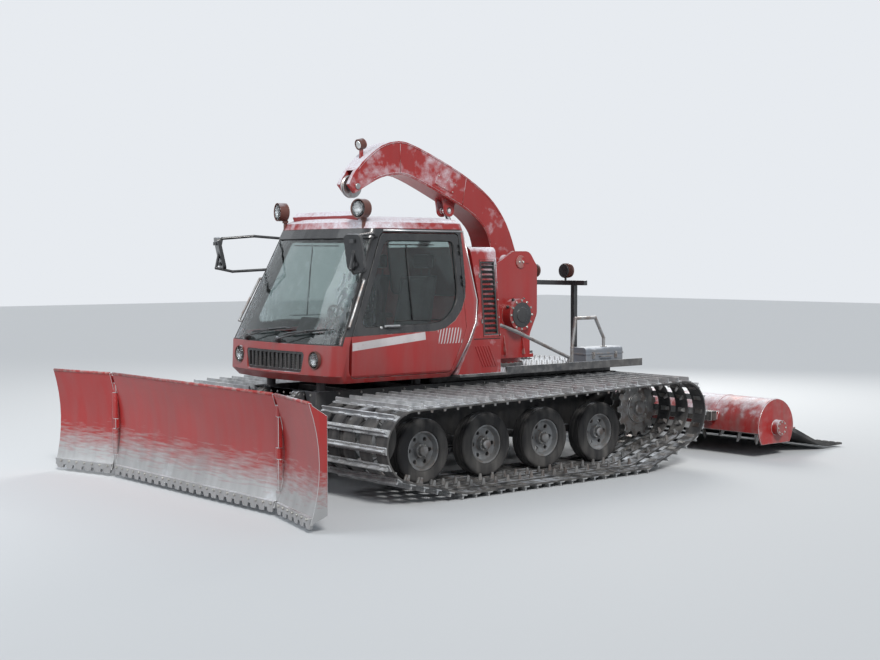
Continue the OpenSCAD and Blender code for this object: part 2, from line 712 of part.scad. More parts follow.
module grab_rails() color(steel) {
    both() tube([[cooler_rear_x, rail_y - 25, 1700], [cooler_rear_x - 80, rail_y - 25, 1700], [300, rail_y - 5, 1620],
        [-560, rail_y, 1280], [-560, rail_y, deck_z]], 20);
    both() tube([[-600, rail_y + 10, deck_z], [-600, rail_y + 10, 1400], [-660, rail_y + 10, 1750],
        [-1000, rail_y + 10, 1750], [-1150, rail_y + 10, 1500], [-1150, rail_y + 10, box_top_z]], 20);
    // Handle on the front pillar of the cab
    difference() {
        both() tube([[2810, 995, 1740], [2850, 1065, 1760], [2610, 1000, 2235], [2560, 920, 2255]], 14);
        cab_solid(0);
    }
}

// Winch

module cheek_outline() polygon(rounded([[slew_x - 270, 1290, 0], [slew_x + 270, 1290, 0], [slew_x + 370, 1560, 120],
    [slew_x + 370, 2200, 60], [slew_x + 250, 2420, 80], [slew_x + 10, 2560, 120], [slew_x - 260, 2560, 120],
    [slew_x - 390, 2380, 120], [slew_x - 390, 1800, 160], [slew_x - 270, 1560, 160]]));

boom_hinge = [slew_x - 110, 2430];
boom_ram_foot = [slew_x + 290, 2215];
boom_ram_eye = [slew_x + 690, 3040];

module winch_turret() color(red) {
    translate([slew_x, 0, deck_z + 40 + play]) cylinder(h = 70, r = 400);
    block([slew_x - 330, -cheek_y - cheek_t, deck_z + 105], [slew_x + 330, cheek_y + cheek_t, 1320]);
    both() difference() {
        along_y(cheek_y, cheek_y + cheek_t) cheek_outline();
        translate([slew_x, cheek_y + cheek_t + 5, drum_z]) rotate([90, 0, 0]) cylinder(h = cheek_t + 10, r = 70);
    }
    // Motors of the drum, bolted on the cheeks
    both() difference() {
        translate([slew_x, cheek_y + cheek_t + 140, drum_z]) rotate([90, 0, 0]) cylinder(h = 142, r = 190);
        translate([slew_x, cheek_y + cheek_t + 60, drum_z]) rotate([90, 0, 0]) cylinder(h = 70, r = 70);
    }
    // Pin of the boom and cross beam of the boom's ram
    translate([boom_hinge[0], cheek_y + 5, boom_hinge[1]]) rotate([90, 0, 0]) cylinder(h = 2 * cheek_y + 10, r = 45);
    block([slew_x + 250, -cheek_y - 5, 2060], [slew_x + 340, cheek_y + 5, 2130]);
    for (y = [-60, 40]) along_y(y, y + 20) {
        translate(boom_ram_foot) circle(r = 45);
        polygon([[slew_x + 250, 2100], [slew_x + 335, 2100], [boom_ram_foot[0] + 44, boom_ram_foot[1]],
            [boom_ram_foot[0] - 44, boom_ram_foot[1]]]);
    }
    translate([boom_ram_foot[0], 70, boom_ram_foot[1]]) rotate([90, 0, 0]) cylinder(h = 140, r = pin_r);
}

module winch_drum() color(steel) translate([slew_x, 0, drum_z]) rotate([90, 0, 0]) {
    drum_half = cheek_y - 20;
    for (s = [-1, 1]) translate([0, 0, s * (drum_half - 10)]) cylinder(h = 20, r = drum_r, center = true);
    cylinder(h = 2 * drum_half, r = 160, center = true);
    cylinder(h = 2 * cheek_y + 60, r = 69.7, center = true);
    // Rope, wound in two layers
    rotate_extrude() polygon(concat([[150, -drum_half + 15]],
        [for (i = [0:23]) for (k = [0, 1]) [k == 0 ? 232 : 248, -drum_half + 20 + (i * 2 + k + 0.5) * (2 * drum_half - 40) / 48]],
        [[150, drum_half - 15]]));
}

// Lines of the boom's back and belly, from the turret to the tip, as X and Z from the foot of the boom
boom_back = [[-330, 50], [-200, 370], [-60, 590], [140, 790], [470, 1000], [870, 1190], [1290, 1350], [1500, 1385],
    [1730, 1330], [1950, 1180], [2110, 1020], [2200, 870]];
boom_belly = [[2110, 770], [1950, 860], [1740, 960], [1500, 1000], [1290, 960], [870, 790], [470, 600], [230, 420],
    [130, 230], [90, -20]];
boom_heel = [[-60, -100], [-250, -80]];
boom_low_z = 2430;
nose_lamp = [1900, 1345];

// Smooth line through points, n steps between two of them
function smooth(p, n) = concat([for (i = [0:len(p) - 2]) for (k = [0:n - 1])
    let (t = k / n, a = p[max(i - 1, 0)], b = p[i], c = p[i + 1], d = p[min(i + 2, len(p) - 1)])
        (2 * b + (c - a) * t + (2 * a - 5 * b + 4 * c - d) * pow(t, 2) + (3 * b - a - 3 * c + d) * pow(t, 3)) / 2],
    [p[len(p) - 1]]);

module boom() color(red) {
    side = [for (p = concat(smooth(boom_back, 3), smooth(boom_belly, 3), boom_heel)) [slew_x + p[0], boom_low_z + p[1]]];
    difference() {
        union() {
            // Box girder, narrower towards the tip
            intersection() {
                along_y(-boom_half_w, boom_half_w) polygon(side);
                linear_extrude_at(boom_low_z - 200, 1700) polygon([[slew_x - 400, -boom_half_w], [slew_x + 300, -boom_half_w],
                    [slew_x + 2250, -boom_tip_half_w], [slew_x + 2250, boom_tip_half_w], [slew_x + 300, boom_half_w],
                    [slew_x - 400, boom_half_w]]);
            }
            translate([boom_hinge[0], cheek_y - 8, boom_hinge[1]]) rotate([90, 0, 0]) cylinder(h = 2 * cheek_y - 16, r = 85);
        }
        translate([boom_hinge[0], cheek_y + 20, boom_hinge[1]]) rotate([90, 0, 0]) cylinder(h = 2 * cheek_y + 40, r = 45 + play);
        // Fork for the rope's sheave
        block([slew_x + 1930, -60, 3000], [slew_x + 2400, 60, 3460]);
    }
    // Lugs of the ram, with room for the drift of its eye
    for (y = [-80, 50]) along_y(y, y + 30) difference() {
        union() {
            translate(boom_ram_eye) circle(r = 75);
            polygon([[boom_ram_eye[0] - 74, boom_ram_eye[1]], [boom_ram_eye[0] + 74, boom_ram_eye[1]],
                [boom_ram_eye[0] + 110, 3230], [boom_ram_eye[0] - 80, 3180]]);
        }
        translate(boom_ram_eye) circle(r = pin_r + 12);
    }
    // Pin of the sheave
    translate([slew_x + 2080, 90, boom_low_z + 850]) rotate([90, 0, 0]) cylinder(h = 180, r = 20);
    // Work lamp on the nose, with its foot
    translate([slew_x + nose_lamp[0], 0, boom_low_z + nose_lamp[1]]) {
        rotate([0, 105, 0]) cylinder(h = 80, r = 60);
        translate([20, -18, -170]) cube([36, 36, 150]);
    }
}

module boom_sheave() color(steel) translate([slew_x + 2080, 0, boom_low_z + 850]) rotate([90, 0, 0])
    rotate_extrude() polygon([[20 + play, -35], [50, -35], [50, -25], [130, -25], [130, -18], [105, 0], [130, 18], [130, 25], [50, 25],
        [50, 35], [20 + play, 35]]);

// Hydraulic rams: foot and eye in X and Z, share of the length that the barrel takes

module ram_frame(foot, y) {
    translate([foot[0], y, foot[1]]) children();
}

// Barrel along +X from its foot, bored for the rod
module ram_barrel(foot, eye, y, barrel_l, r, rod_r, width) {
    turn = atan2(eye[1] - foot[1], eye[0] - foot[0]);
    ram_frame(foot, y) rotate([0, -turn, 0]) difference() {
        union() {
            translate([62, 0, 0]) rotate([0, 90, 0]) cylinder(h = barrel_l - 62, r = r);
            translate([barrel_l - 40, 0, 0]) rotate([0, 90, 0]) cylinder(h = 40, r = r + 8);
            rotate([90, 0, 0]) cylinder(h = width, r = 42, center = true);
            translate([10, -width / 2 + 2, -30]) cube([60, width - 4, 60]);
        }
        rotate([90, 0, 0]) cylinder(h = width + 10, r = pin_r + play, center = true);
        translate([90, 0, 0]) rotate([0, 90, 0]) cylinder(h = barrel_l, r = rod_r + play);
    }
}

// Rod from inside the barrel to its eye, with the eye's pin
module ram_rod(foot, eye, y, start, rod_r, width, pin_l) {
    turn = atan2(eye[1] - foot[1], eye[0] - foot[0]);
    l = norm(eye - foot);
    ram_frame(foot, y) rotate([0, -turn, 0]) {
        translate([start, 0, 0]) rotate([0, 90, 0]) cylinder(h = l - start - 20, r = rod_r);
        translate([l, 0, 0]) rotate([90, 0, 0]) cylinder(h = width, r = 40, center = true);
        translate([l, 0, 0]) rotate([90, 0, 0]) cylinder(h = pin_l, r = pin_r, center = true);
    }
}

module boom_ram_barrel() color(dark) ram_barrel(boom_ram_foot, boom_ram_eye, 0, 640, 55, 30, 76);
module boom_ram_rod() color(pale) ram_rod(boom_ram_foot, boom_ram_eye, 0, 330, 30, 90, 160);

module blade_ram_barrels() color(dark) both() ram_barrel(blade_ram_foot, blade_ram_eye, ram_y, 350, 55, 32, 60);
module blade_ram_rods() color(pale) both() ram_rod(blade_ram_foot, blade_ram_eye, ram_y, 270, 32, 60, 130);

module tiller_ram_barrels() color(dark) both() ram_barrel(tiller_ram_foot, tiller_ram_eye, ram_y, 430, 50, 28, 60);
module tiller_ram_rods() color(pale) both() ram_rod(tiller_ram_foot, tiller_ram_eye, ram_y, 300, 28, 60, 130);

// Blade frame: arms from the hull, a head with the upright swing pin

cross_w = 180;
swing_x = cross_x + 320;
head_low_z = 400;
head_top_z = 800;
head_half = 240;
drift = 8;

module ram_lugs(eye, base_z) for (s = [-1, 1]) along_y(ram_y + s * 50 - 14, ram_y + s * 50 + 14) difference() {
    union() {
        translate(eye) circle(r = 70);
        polygon([[eye[0] - 69, eye[1]], [eye[0] + 69, eye[1]], [eye[0] + 90, base_z], [eye[0] - 90, base_z]]);
    }
    translate(eye) circle(r = pin_r + drift);
}

module push_frame() color(dark) {
    both() {
        difference() {
            along_y(frame_y - 60, frame_y + 60) {
                translate(blade_hinge) circle(r = 55);
                polygon([[blade_hinge[0], blade_hinge[1] - 54], [cross_x + 20, 470],
                    [cross_x + cross_w, 470], [cross_x + cross_w, 580], [cross_x, 590],
                    [blade_hinge[0], blade_hinge[1] + 54]]);
            }
            translate([blade_hinge[0], frame_y + 70, blade_hinge[1]]) rotate([90, 0, 0]) cylinder(h = 140, r = pin_r + play);
        }
        ram_lugs(blade_ram_eye, 560);
    }
    difference() {
        block([cross_x, -frame_y - 55, 480], [cross_x + cross_w, frame_y + 55, 570]);
        block([cross_x + 60, -40, 470], [cross_x + 120, 40, 580]);
    }
    // Head: two jaws and the swing pin
    for (z = [head_low_z - 40, head_top_z]) {
        linear_extrude_at(z, 40) polygon([[swing_x - 200, -head_half], [swing_x, -130], [swing_x, 130],
            [swing_x - 200, head_half]]);
        translate([swing_x, 0, z]) cylinder(h = 40, r = 130);
    }
    block([swing_x - 220, -head_half, head_low_z - 40], [swing_x - 160, head_half, head_top_z + 40]);
    translate([swing_x, 0, head_low_z - 20]) cylinder(h = head_top_z - head_low_z + 40, r = 60);
}

module linear_extrude_at(z, h) translate([0, 0, z]) linear_extrude(h) children();

carrier_x = swing_x + 180;
tilt_z = 600;

module swing_carrier() color(dark) {
    difference() {
        union() {
            translate([swing_x, 0, head_low_z + play]) cylinder(h = head_top_z - head_low_z - 2 * play, r = 110);
            block([swing_x, -120, tilt_z - 140], [carrier_x - 20, 120, tilt_z + 140]);
            translate([carrier_x - 22, 0, tilt_z]) rotate([0, 90, 0]) cylinder(h = 22, r = 170);
        }
        translate([swing_x, 0, head_low_z - 5]) cylinder(h = head_top_z - head_low_z + 10, r = 60 + play);
    }
    translate([carrier_x - 5, 0, tilt_z]) rotate([0, 90, 0]) cylinder(h = 120, r = 60);
}

// Blade: profile of the hollow face, with box beams behind it
blade_edge_x = carrier_x + 300;
moldboard_t = 30;
blade_steps = 8;
blade_mid_z = (blade_low_z + blade_top_z) / 2;
function face_x(z) = blade_edge_x - blade_sag * (1 - pow((z - blade_mid_z) / (blade_top_z - blade_mid_z), 2));
blade_zs = [for (i = [0:blade_steps]) blade_low_z + 40 + i * (blade_top_z - blade_low_z - 40) / blade_steps];
hinge_x = blade_edge_x - 60;
hinge_y = blade_half_w + 30;
beam_x = blade_edge_x - blade_sag - 80;
wing_gap = 30;
// The comb ends as far behind the origin as the wings reach ahead of it
comb_rear_x = -(hinge_x + (blade_edge_x - hinge_x) * cos(wing_turn) + (wing_gap + wing_l) * sin(wing_turn));

module moldboard_outline() polygon(concat([for (z = blade_zs) [face_x(z), z]],
    [for (i = [blade_steps:-1:0]) [face_x(blade_zs[i]) - moldboard_t, blade_zs[i]]]));

// One section of the blade between y0 and y1, X measured as on the middle section
module blade_section(y0, y1) {
    back = blade_edge_x - blade_sag - moldboard_t;
    along_y(y0, y1) moldboard_outline();
    for (z = [blade_mid_z - 330, blade_mid_z, blade_mid_z + 330])
        block([beam_x, y0, z - 60], [face_x(z) - moldboard_t / 2, y1, z + 60]);
    // End ribs and ribs between them
    for (y = [y0, y1 - 20]) along_y(y, y + 20) polygon(concat([[beam_x, blade_low_z + 120]], [for (z = blade_zs) [face_x(z) - 2, z]],
        [[beam_x, blade_top_z - 120]]));
    // Toothed cutting edge
    n = round((y1 - y0) / tooth_pitch);
    p = (y1 - y0) / n;
    along_x(blade_edge_x - 48, blade_edge_x - 12) polygon(concat([[y1, blade_low_z + 110], [y0, blade_low_z + 110]],
        [for (i = [0:n - 1]) for (t = [[0.12, 45], [0.25, 0], [0.75, 0], [0.88, 45]]) [y0 + (i + t[0]) * p, blade_low_z + t[1]]]));
}

knuckles = [[150, 260], [555, 665], [960, 1070]];
hinge_pin_r = 14;
knuckle_r = 25;

module knuckle(z0, z1) translate([hinge_x, hinge_y, z0]) cylinder(h = z1 - z0, r = knuckle_r);

module blade() color(red) {
    difference() {
        union() {
            blade_section(-blade_half_w, blade_half_w);
            both() for (k = knuckles) {
                knuckle(k[0], k[1]);
                block([hinge_x - 22, blade_half_w - 5, k[0]], [hinge_x + 22, hinge_y - 5, k[1]]);
            }
            // Bearing of the tilt pin
            translate([carrier_x + play, 0, tilt_z]) rotate([0, 90, 0]) cylinder(h = beam_x - carrier_x + 5, r = 110);
        }
        translate([carrier_x - 5, 0, tilt_z]) rotate([0, 90, 0]) cylinder(h = 130, r = 60 + play);
    }
    both() translate([hinge_x, hinge_y, knuckles[0][0]]) cylinder(h = knuckles[2][1] - knuckles[0][0], r = hinge_pin_r);
}

module wing() color(red) translate([hinge_x, hinge_y, 0]) rotate(-wing_turn) translate([-hinge_x, -hinge_y, 0]) difference() {
    union() {
        blade_section(hinge_y + wing_gap, hinge_y + wing_gap + wing_l);
        for (i = [0, 1]) {
            knuckle(knuckles[i][1] + play, knuckles[i + 1][0] - play);
            block([hinge_x - 22, hinge_y + 5, knuckles[i][1] + play], [hinge_x + 22, hinge_y + 35, knuckles[i + 1][0] - play]);
        }
    }
    translate([hinge_x, hinge_y, 100]) cylinder(h = 1000, r = hinge_pin_r + play);
}

// Tiller

hood_r = rotor_r + 90;
hood_t = 14;
hood_mount_x = rotor_x + hood_r + 20;
comb_top_z = 330;

// Middle of the hood's plate in front of the rotor, at a height
function hood_x(z) = rotor_x + sqrt(pow(hood_r + hood_t / 2, 2) - pow(z - rotor_z, 2));

module tiller_frame() color(dark) {
    both() {
        difference() {
            along_y(frame_y - 60, frame_y + 60) {
                translate(tiller_hinge) circle(r = 55);
                polygon([[tiller_hinge[0], tiller_hinge[1] + 54], [-2300, 560], [hood_mount_x, 560], [hood_mount_x, 430], [-2280, 430],
                    [tiller_hinge[0], tiller_hinge[1] - 54]]);
            }
            translate([tiller_hinge[0], frame_y + 70, tiller_hinge[1]]) rotate([90, 0, 0]) cylinder(h = 140, r = pin_r + play);
        }
        ram_lugs(tiller_ram_eye, 540);
    }
    block([-2400, -frame_y - 55, 440], [-2250, frame_y + 55, 550]);
    block([hood_mount_x, -1500, 430], [hood_mount_x + 100, 1500, 550]);
}

// Hood: an arched shell over the rotor, with end plates
module tiller_hood() color(red) {
    along_y(-tiller_half_w, tiller_half_w) difference() {
        translate([rotor_x, rotor_z]) circle(r = hood_r + hood_t);
        translate([rotor_x, rotor_z]) circle(r = hood_r);
        translate([rotor_x - 600, rotor_z - 700]) square([1200, 640]);
    }
    both() difference() {
        along_y(tiller_half_w - 20, tiller_half_w) difference() {
            translate([rotor_x, rotor_z]) circle(r = hood_r + 5);
            translate([rotor_x - 600, rotor_z - 900]) square([1200, 700]);
        }
        translate([rotor_x, tiller_half_w + 5, rotor_z]) rotate([90, 0, 0]) cylinder(h = 30, r = 45);
    }
    // Flanges for the frame in front and for the comb behind
    along_y(-1500, 1500) polygon([[hood_mount_x, 440], [hood_mount_x, 540], [hood_x(540), 540], [hood_x(440), 440]]);
    block([rotor_x - hood_r - 60, -tiller_half_w, comb_top_z], [rotor_x - hood_r + 10, tiller_half_w, comb_top_z + 16]);
    // Motors on the ends
    both() difference() {
        translate([rotor_x, tiller_half_w + 90, rotor_z]) rotate([90, 0, 0]) cylinder(h = 92, r = 95);
        translate([rotor_x, tiller_half_w + 40, rotor_z]) rotate([90, 0, 0]) cylinder(h = 60, r = 45);
    }
}

module tiller_rotor() color(steel) translate([rotor_x, 0, rotor_z]) rotate([90, 0, 0]) {
    half = tiller_half_w - 30;
    cylinder(h = 2 * half, r = 120, center = true);
    cylinder(h = 2 * half + 100, r = 45 - play, center = true);
    for (i = [0:19], k = [0:2]) translate([0, 0, -half + 60 + i * (2 * half - 120) / 19]) rotate(k * 120 + i * 27)
        translate([110, 0, 0]) linear_extrude(24, center = true) polygon([[0, -34], [rotor_r - 130, -20], [rotor_r - 110, 10], [0, 34]]);
}

module finishing_comb() color(black) {
    front = rotor_x - hood_r - hood_t - 2;
    along_y(20 - tiller_half_w, tiller_half_w - 20) polygon([[front, comb_top_z], [front - 50, comb_top_z], [comb_rear_x + 500, 90],
        [comb_rear_x + 300, 60], [comb_rear_x + 300, 35], [comb_rear_x + 520, 60], [front, comb_top_z - 40]]);
    n = 40;
    w = (2 * tiller_half_w - 40) / n;
    for (i = [0:n - 1]) block([comb_rear_x, 20 - tiller_half_w + (i + 0.2) * w, 30],
        [comb_rear_x + 310, 20 - tiller_half_w + (i + 0.8) * w, 55]);
}

hull();
engine_block();
axles();
wheel_rims();
tyres();
sprockets();
track();  // track_left
mirror([0, 1, 0]) track();  // track_right
cab_body();
cab_frame();
roof_panel();
cab_glass();
dashboard();
seat_frames();
seat_pads();
steering_wheel();
front_grille();
lamps();
beacon();
mirrors();
cooling_box();
cooler_grilles();
exhaust();
platform();
side_boxes();
rear_rack();
grab_rails();
door_frame();  // door_left_frame
door_panel();  // door_left_panel
door_glass();  // door_left_glass
mirror([0, 1, 0]) door_frame();  // door_right_frame
mirror([0, 1, 0]) door_panel();  // door_right_panel
mirror([0, 1, 0]) door_glass();  // door_right_glass
winch_turret();
winch_drum();
boom();
boom_sheave();
boom_ram_barrel();
boom_ram_rod();
push_frame();
swing_carrier();
blade();
wing();  // wing_left
mirror([0, 1, 0]) wing();  // wing_right
blade_ram_barrels();
blade_ram_rods();
tiller_frame();
tiller_hood();
tiller_rotor();
finishing_comb();
tiller_ram_barrels();
tiller_ram_rods();
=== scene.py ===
"""Looks of a snow groomer with a rope winch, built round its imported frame."""

import math

import bmesh
import bpy
from mathutils import Matrix, Vector


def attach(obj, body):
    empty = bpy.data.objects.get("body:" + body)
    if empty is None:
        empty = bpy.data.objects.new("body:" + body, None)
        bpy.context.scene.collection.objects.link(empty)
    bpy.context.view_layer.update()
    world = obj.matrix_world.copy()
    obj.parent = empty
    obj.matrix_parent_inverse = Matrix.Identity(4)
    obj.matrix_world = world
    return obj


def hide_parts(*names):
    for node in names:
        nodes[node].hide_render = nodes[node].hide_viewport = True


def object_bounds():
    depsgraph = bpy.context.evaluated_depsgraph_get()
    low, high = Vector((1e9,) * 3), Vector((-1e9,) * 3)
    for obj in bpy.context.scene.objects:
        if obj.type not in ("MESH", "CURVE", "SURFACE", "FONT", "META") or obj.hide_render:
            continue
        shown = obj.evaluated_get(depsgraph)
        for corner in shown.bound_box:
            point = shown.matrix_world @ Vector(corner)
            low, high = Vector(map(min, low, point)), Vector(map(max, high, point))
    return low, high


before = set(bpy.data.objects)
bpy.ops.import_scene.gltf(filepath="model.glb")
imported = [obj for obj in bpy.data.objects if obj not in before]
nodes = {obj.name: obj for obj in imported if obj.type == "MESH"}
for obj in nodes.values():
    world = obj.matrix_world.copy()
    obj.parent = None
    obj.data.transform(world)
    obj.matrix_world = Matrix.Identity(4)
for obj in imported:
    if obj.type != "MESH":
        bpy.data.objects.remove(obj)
cad_bounds = [list(corner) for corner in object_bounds()]

# Studio: a pale floor and a pale surround, a hazy low sun and two broad lamps, ahead and behind. The
# camera stands 48 degrees off the nose on the left side, as the photograph's did, a little under the roof.
floor_grey = (0.56, 0.58, 0.60, 1.0)
surround_seen = (0.80, 0.83, 0.87, 1.0)
surround_light = (0.85, 0.92, 1.0, 1.0)


def new_material(name):
    """An empty node material and its Principled shader."""
    material = bpy.data.materials.new(name)
    material.use_nodes = True
    return material, material.node_tree.nodes["Principled BSDF"]


def feed(node, values):
    """Gives inputs of a node a link or a plain value, in pairs of socket and value."""
    for socket, value in values:
        if isinstance(value, bpy.types.NodeSocket):
            node.id_data.links.new(value, node.inputs[socket])
        else:
            node.inputs[socket].default_value = value


def put(tree, kind, values=(), **settings):
    """A node of this kind, its settings given by name and its inputs as pairs of socket and value."""
    made = tree.nodes.new(kind)
    for setting, value in settings.items():
        setattr(made, setting, value)
    feed(made, values)
    return made


def maths(operation, *values):
    """The result of one sum, worked out in the tree that its values come from."""
    tree = next(value.id_data for value in values if isinstance(value, bpy.types.NodeSocket))
    return put(tree, "ShaderNodeMath", enumerate(values), operation=operation).outputs[0]


def link_object(name, data):
    """An object of this data, linked into the scene at the origin."""
    made = bpy.data.objects.new(name, data)
    bpy.context.scene.collection.objects.link(made)
    return made


floor_material, floor_shader = new_material("studio_floor")
feed(floor_shader, [("Base Color", floor_grey), ("Roughness", 0.9)])
floor_mesh = bpy.data.meshes.new("studio_floor")
floor_half = 60.0
floor_mesh.from_pydata(
    [(-floor_half, -floor_half, 0), (floor_half, -floor_half, 0), (floor_half, floor_half, 0),
     (-floor_half, floor_half, 0)],
    [], [(0, 1, 2, 3)])
floor_mesh.materials.append(floor_material)
link_object("studio_floor", floor_mesh)

world = bpy.data.worlds.new("studio_surround")
bpy.context.scene.world = world
world.use_nodes = True
surround = world.node_tree
ambient = put(surround, "ShaderNodeBackground", [("Color", surround_light), ("Strength", 0.42)])
seen = put(surround, "ShaderNodeBackground", [("Color", surround_seen), ("Strength", 1.0)])
ray = put(surround, "ShaderNodeLightPath")
shown = maths("MAXIMUM", ray.outputs["Is Camera Ray"], ray.outputs["Is Glossy Ray"])
shown = maths("MAXIMUM", shown, ray.outputs["Is Transmission Ray"])
choice = put(surround, "ShaderNodeMixShader", [(0, shown), (1, ambient.outputs[0]), (2, seen.outputs[0])])
feed(surround.nodes["World Output"], [("Surface", choice.outputs[0])])


def soft_lamp(name, place, size, power, tint):
    """A square area lamp that looks at the machine's middle."""
    data = bpy.data.lights.new(name, "AREA")
    data.size = size
    data.energy = power
    data.color = tint
    lamp = link_object(name, data)
    lamp.location = place
    lamp.rotation_euler = (Vector((0.5, 0.0, 1.4)) - Vector(place)).to_track_quat("-Z", "Y").to_euler()


soft_lamp("front_lamp", (11.0, -3.0, 6.0), 8.0, 420.0, (0.93, 0.97, 1.0))
soft_lamp("back_lamp", (-9.0, -7.0, 8.0), 6.0, 900.0, (1.0, 0.97, 0.92))
sun_data = bpy.data.lights.new("sun", "SUN")
sun_data.energy = 2.6
sun_data.angle = math.radians(14.0)
sun_data.color = (1.0, 0.98, 0.95)
sun = link_object("sun", sun_data)
sun.rotation_euler = Vector((-3.0, -6.5, -6.0)).to_track_quat("-Z", "Y").to_euler()

view_off_nose = math.radians(48.0)
view_distance = 17.5
eye_height = 2.45
aim = Vector((0.72, 0.0, 1.62))
camera_data = bpy.data.cameras.new("camera")
camera_data.sensor_width = 36.0
camera_data.lens = 58.5
camera = link_object("camera", camera_data)
camera.location = (view_distance * math.cos(view_off_nose), view_distance * math.sin(view_off_nose),
                   eye_height)
camera.rotation_euler = (aim - camera.location).to_track_quat("-Z", "Y").to_euler()
bpy.context.scene.camera = camera
bpy.context.scene.view_settings.view_transform = "Standard"

# Hull: a welded tub of steel plate in dark paint that carries the engine, the axles and the deck. Its coat
# is the first of many that dull, gather frost on top and road film below, and wear through at the corners.


def new_group(name, inputs, outputs):
    """A shader node group with its inputs and outputs named."""
    tree = bpy.data.node_groups.new(name, "ShaderNodeTree")
    for socket, default in inputs:
        kind = "NodeSocketColor" if isinstance(default, tuple) else "NodeSocketFloat"
        tree.interface.new_socket(socket, in_out="INPUT", socket_type=kind).default_value = default
    for socket, kind in outputs:
        tree.interface.new_socket(socket, in_out="OUTPUT", socket_type=kind)
    return tree, tree.nodes.new("NodeGroupInput").outputs, tree.nodes.new("NodeGroupOutput")


def times(first, second):
    """Two values multiplied."""
    return maths("MULTIPLY", first, second)


def places(tree):
    """Object coordinates."""
    return put(tree, "ShaderNodeTexCoord").outputs["Object"]


def split(vector):
    """The three parts of a vector."""
    return put(vector.id_data, "ShaderNodeSeparateXYZ", [(0, vector)]).outputs


def stretched(where, scale):
    """Coordinates scaled by a different amount each way."""
    return put(where.id_data, "ShaderNodeMapping", [("Vector", where), ("Scale", scale)]).outputs[0]


def noise(where, scale, detail=4.0):
    """The grey value of a noise texture."""
    return put(where.id_data, "ShaderNodeTexNoise",
               [("Vector", where), ("Scale", scale), ("Detail", detail)]).outputs["Fac"]


def blend_colours(factor, first, second):
    """Two colours mixed by a factor."""
    return put(factor.id_data, "ShaderNodeMix", [(0, factor), (6, first), (7, second)],
               data_type="RGBA").outputs[2]


def ramp(value, low, high, to_low=0.0, to_high=1.0):
    """A value taken from one range to another, held within it."""
    return put(value.id_data, "ShaderNodeMapRange",
               [(0, value), (1, low), (2, high), (3, to_low), (4, to_high)]).outputs[0]


def bump(height, distance, strength):
    """The normal of a surface raised by a height."""
    return put(height.id_data, "ShaderNodeBump",
               [("Height", height), ("Distance", distance), ("Strength", strength)]).outputs[0]


weather, weather_in, weather_out = new_group("weather", [
    ("Colour", (0.5, 0.5, 0.5, 1.0)), ("Roughness", 0.5), ("Frost", 0.2), ("Film", 0.4), ("Wear", 0.0),
    ("Bare Colour", (0.2, 0.19, 0.18, 1.0)), ("Grain Size", 300.0), ("Grain Depth", 0.1)],
    [("Colour", "NodeSocketColor"), ("Roughness", "NodeSocketFloat"), ("Covered", "NodeSocketFloat"),
     ("Height", "NodeSocketFloat")])
where = places(weather)
upward = split(where.node.outputs["Normal"])[2]
height = split(where)[2]
cloudy = noise(where, 1.6)
patchy = noise(where, 11.0, 6.0)
speckled = noise(where, 70.0, 3.0)
grain = noise(where, weather_in["Grain Size"], 2.0)
lying = maths("MULTIPLY_ADD", upward, 0.32, 0.32)
uneven = maths("MULTIPLY_ADD", cloudy, 0.55, times(patchy, 0.35))
settled = maths("ADD", lying, uneven)
needed = maths("SUBTRACT", 1.38, weather_in["Frost"])
frost_mask = ramp(maths("SUBTRACT", settled, needed), 0.0, 0.22)
frost_mask = times(frost_mask, ramp(speckled, 0.25, 0.6, 0.55, 1.0))
streaks = stretched(where, (5.0, 5.0, 0.7))
film_mask = times(ramp(height, 2.4, 0.3, 0.25, 1.0), ramp(noise(streaks, 1.5, 5.0), 0.38, 0.68))
film_mask = times(film_mask, weather_in["Film"])
wear_mask = times(ramp(patchy, 0.47, 0.60), weather_in["Wear"])
shade = put(weather, "ShaderNodeHueSaturation", [("Value", ramp(cloudy, 0.3, 0.7, 0.9, 1.08)),
                                                 ("Color", weather_in["Colour"])]).outputs[0]
bare = blend_colours(wear_mask, shade, weather_in["Bare Colour"])
filmed = blend_colours(film_mask, bare, (0.13, 0.125, 0.12, 1.0))
frosted = blend_colours(times(frost_mask, 0.88), filmed, (0.74, 0.79, 0.86, 1.0))
dulled = maths("MULTIPLY_ADD", film_mask, 0.3, weather_in["Roughness"])
dulled = maths("ADD", dulled, ramp(grain, 0.3, 0.7, -0.05, 0.05))
icy = put(weather, "ShaderNodeMix", [(0, frost_mask), (2, dulled), (3, 0.82)], data_type="FLOAT").outputs[0]
covered = maths("MAXIMUM", frost_mask, film_mask)
relief = times(grain, weather_in["Grain Depth"])
thick = times(frost_mask, ramp(speckled, 0.2, 0.8, 0.4, 1.0))
feed(weather_out, [("Colour", frosted), ("Roughness", icy), ("Covered", covered),
                   ("Height", maths("ADD", relief, thick))])


def coat(name, colour, roughness, frost=0.2, film=0.4, wear=0.0, metallic=0.0, grain_size=260.0,
         grain_depth=0.06, bare=(0.2, 0.19, 0.18), gloss=0.0):
    """A finish that weathers: paint, bare metal, rubber or plastic."""
    material, shader = new_material(name)
    mixed = put(material.node_tree, "ShaderNodeGroup", [
        ("Colour", (*colour, 1.0)), ("Roughness", roughness), ("Frost", frost), ("Film", film),
        ("Wear", wear), ("Bare Colour", (*bare, 1.0)), ("Grain Size", grain_size),
        ("Grain Depth", grain_depth)],
        node_tree=weather).outputs
    feed(shader, [("Base Color", mixed["Colour"]), ("Roughness", mixed["Roughness"]),
                  ("Normal", bump(mixed["Height"], 0.004, 0.6)), ("Coat Weight", gloss),
                  ("Coat Roughness", 0.12)])
    if metallic:
        feed(shader, [("Metallic", ramp(mixed["Covered"], 0.0, 0.6, metallic, 0.0))])
    return material


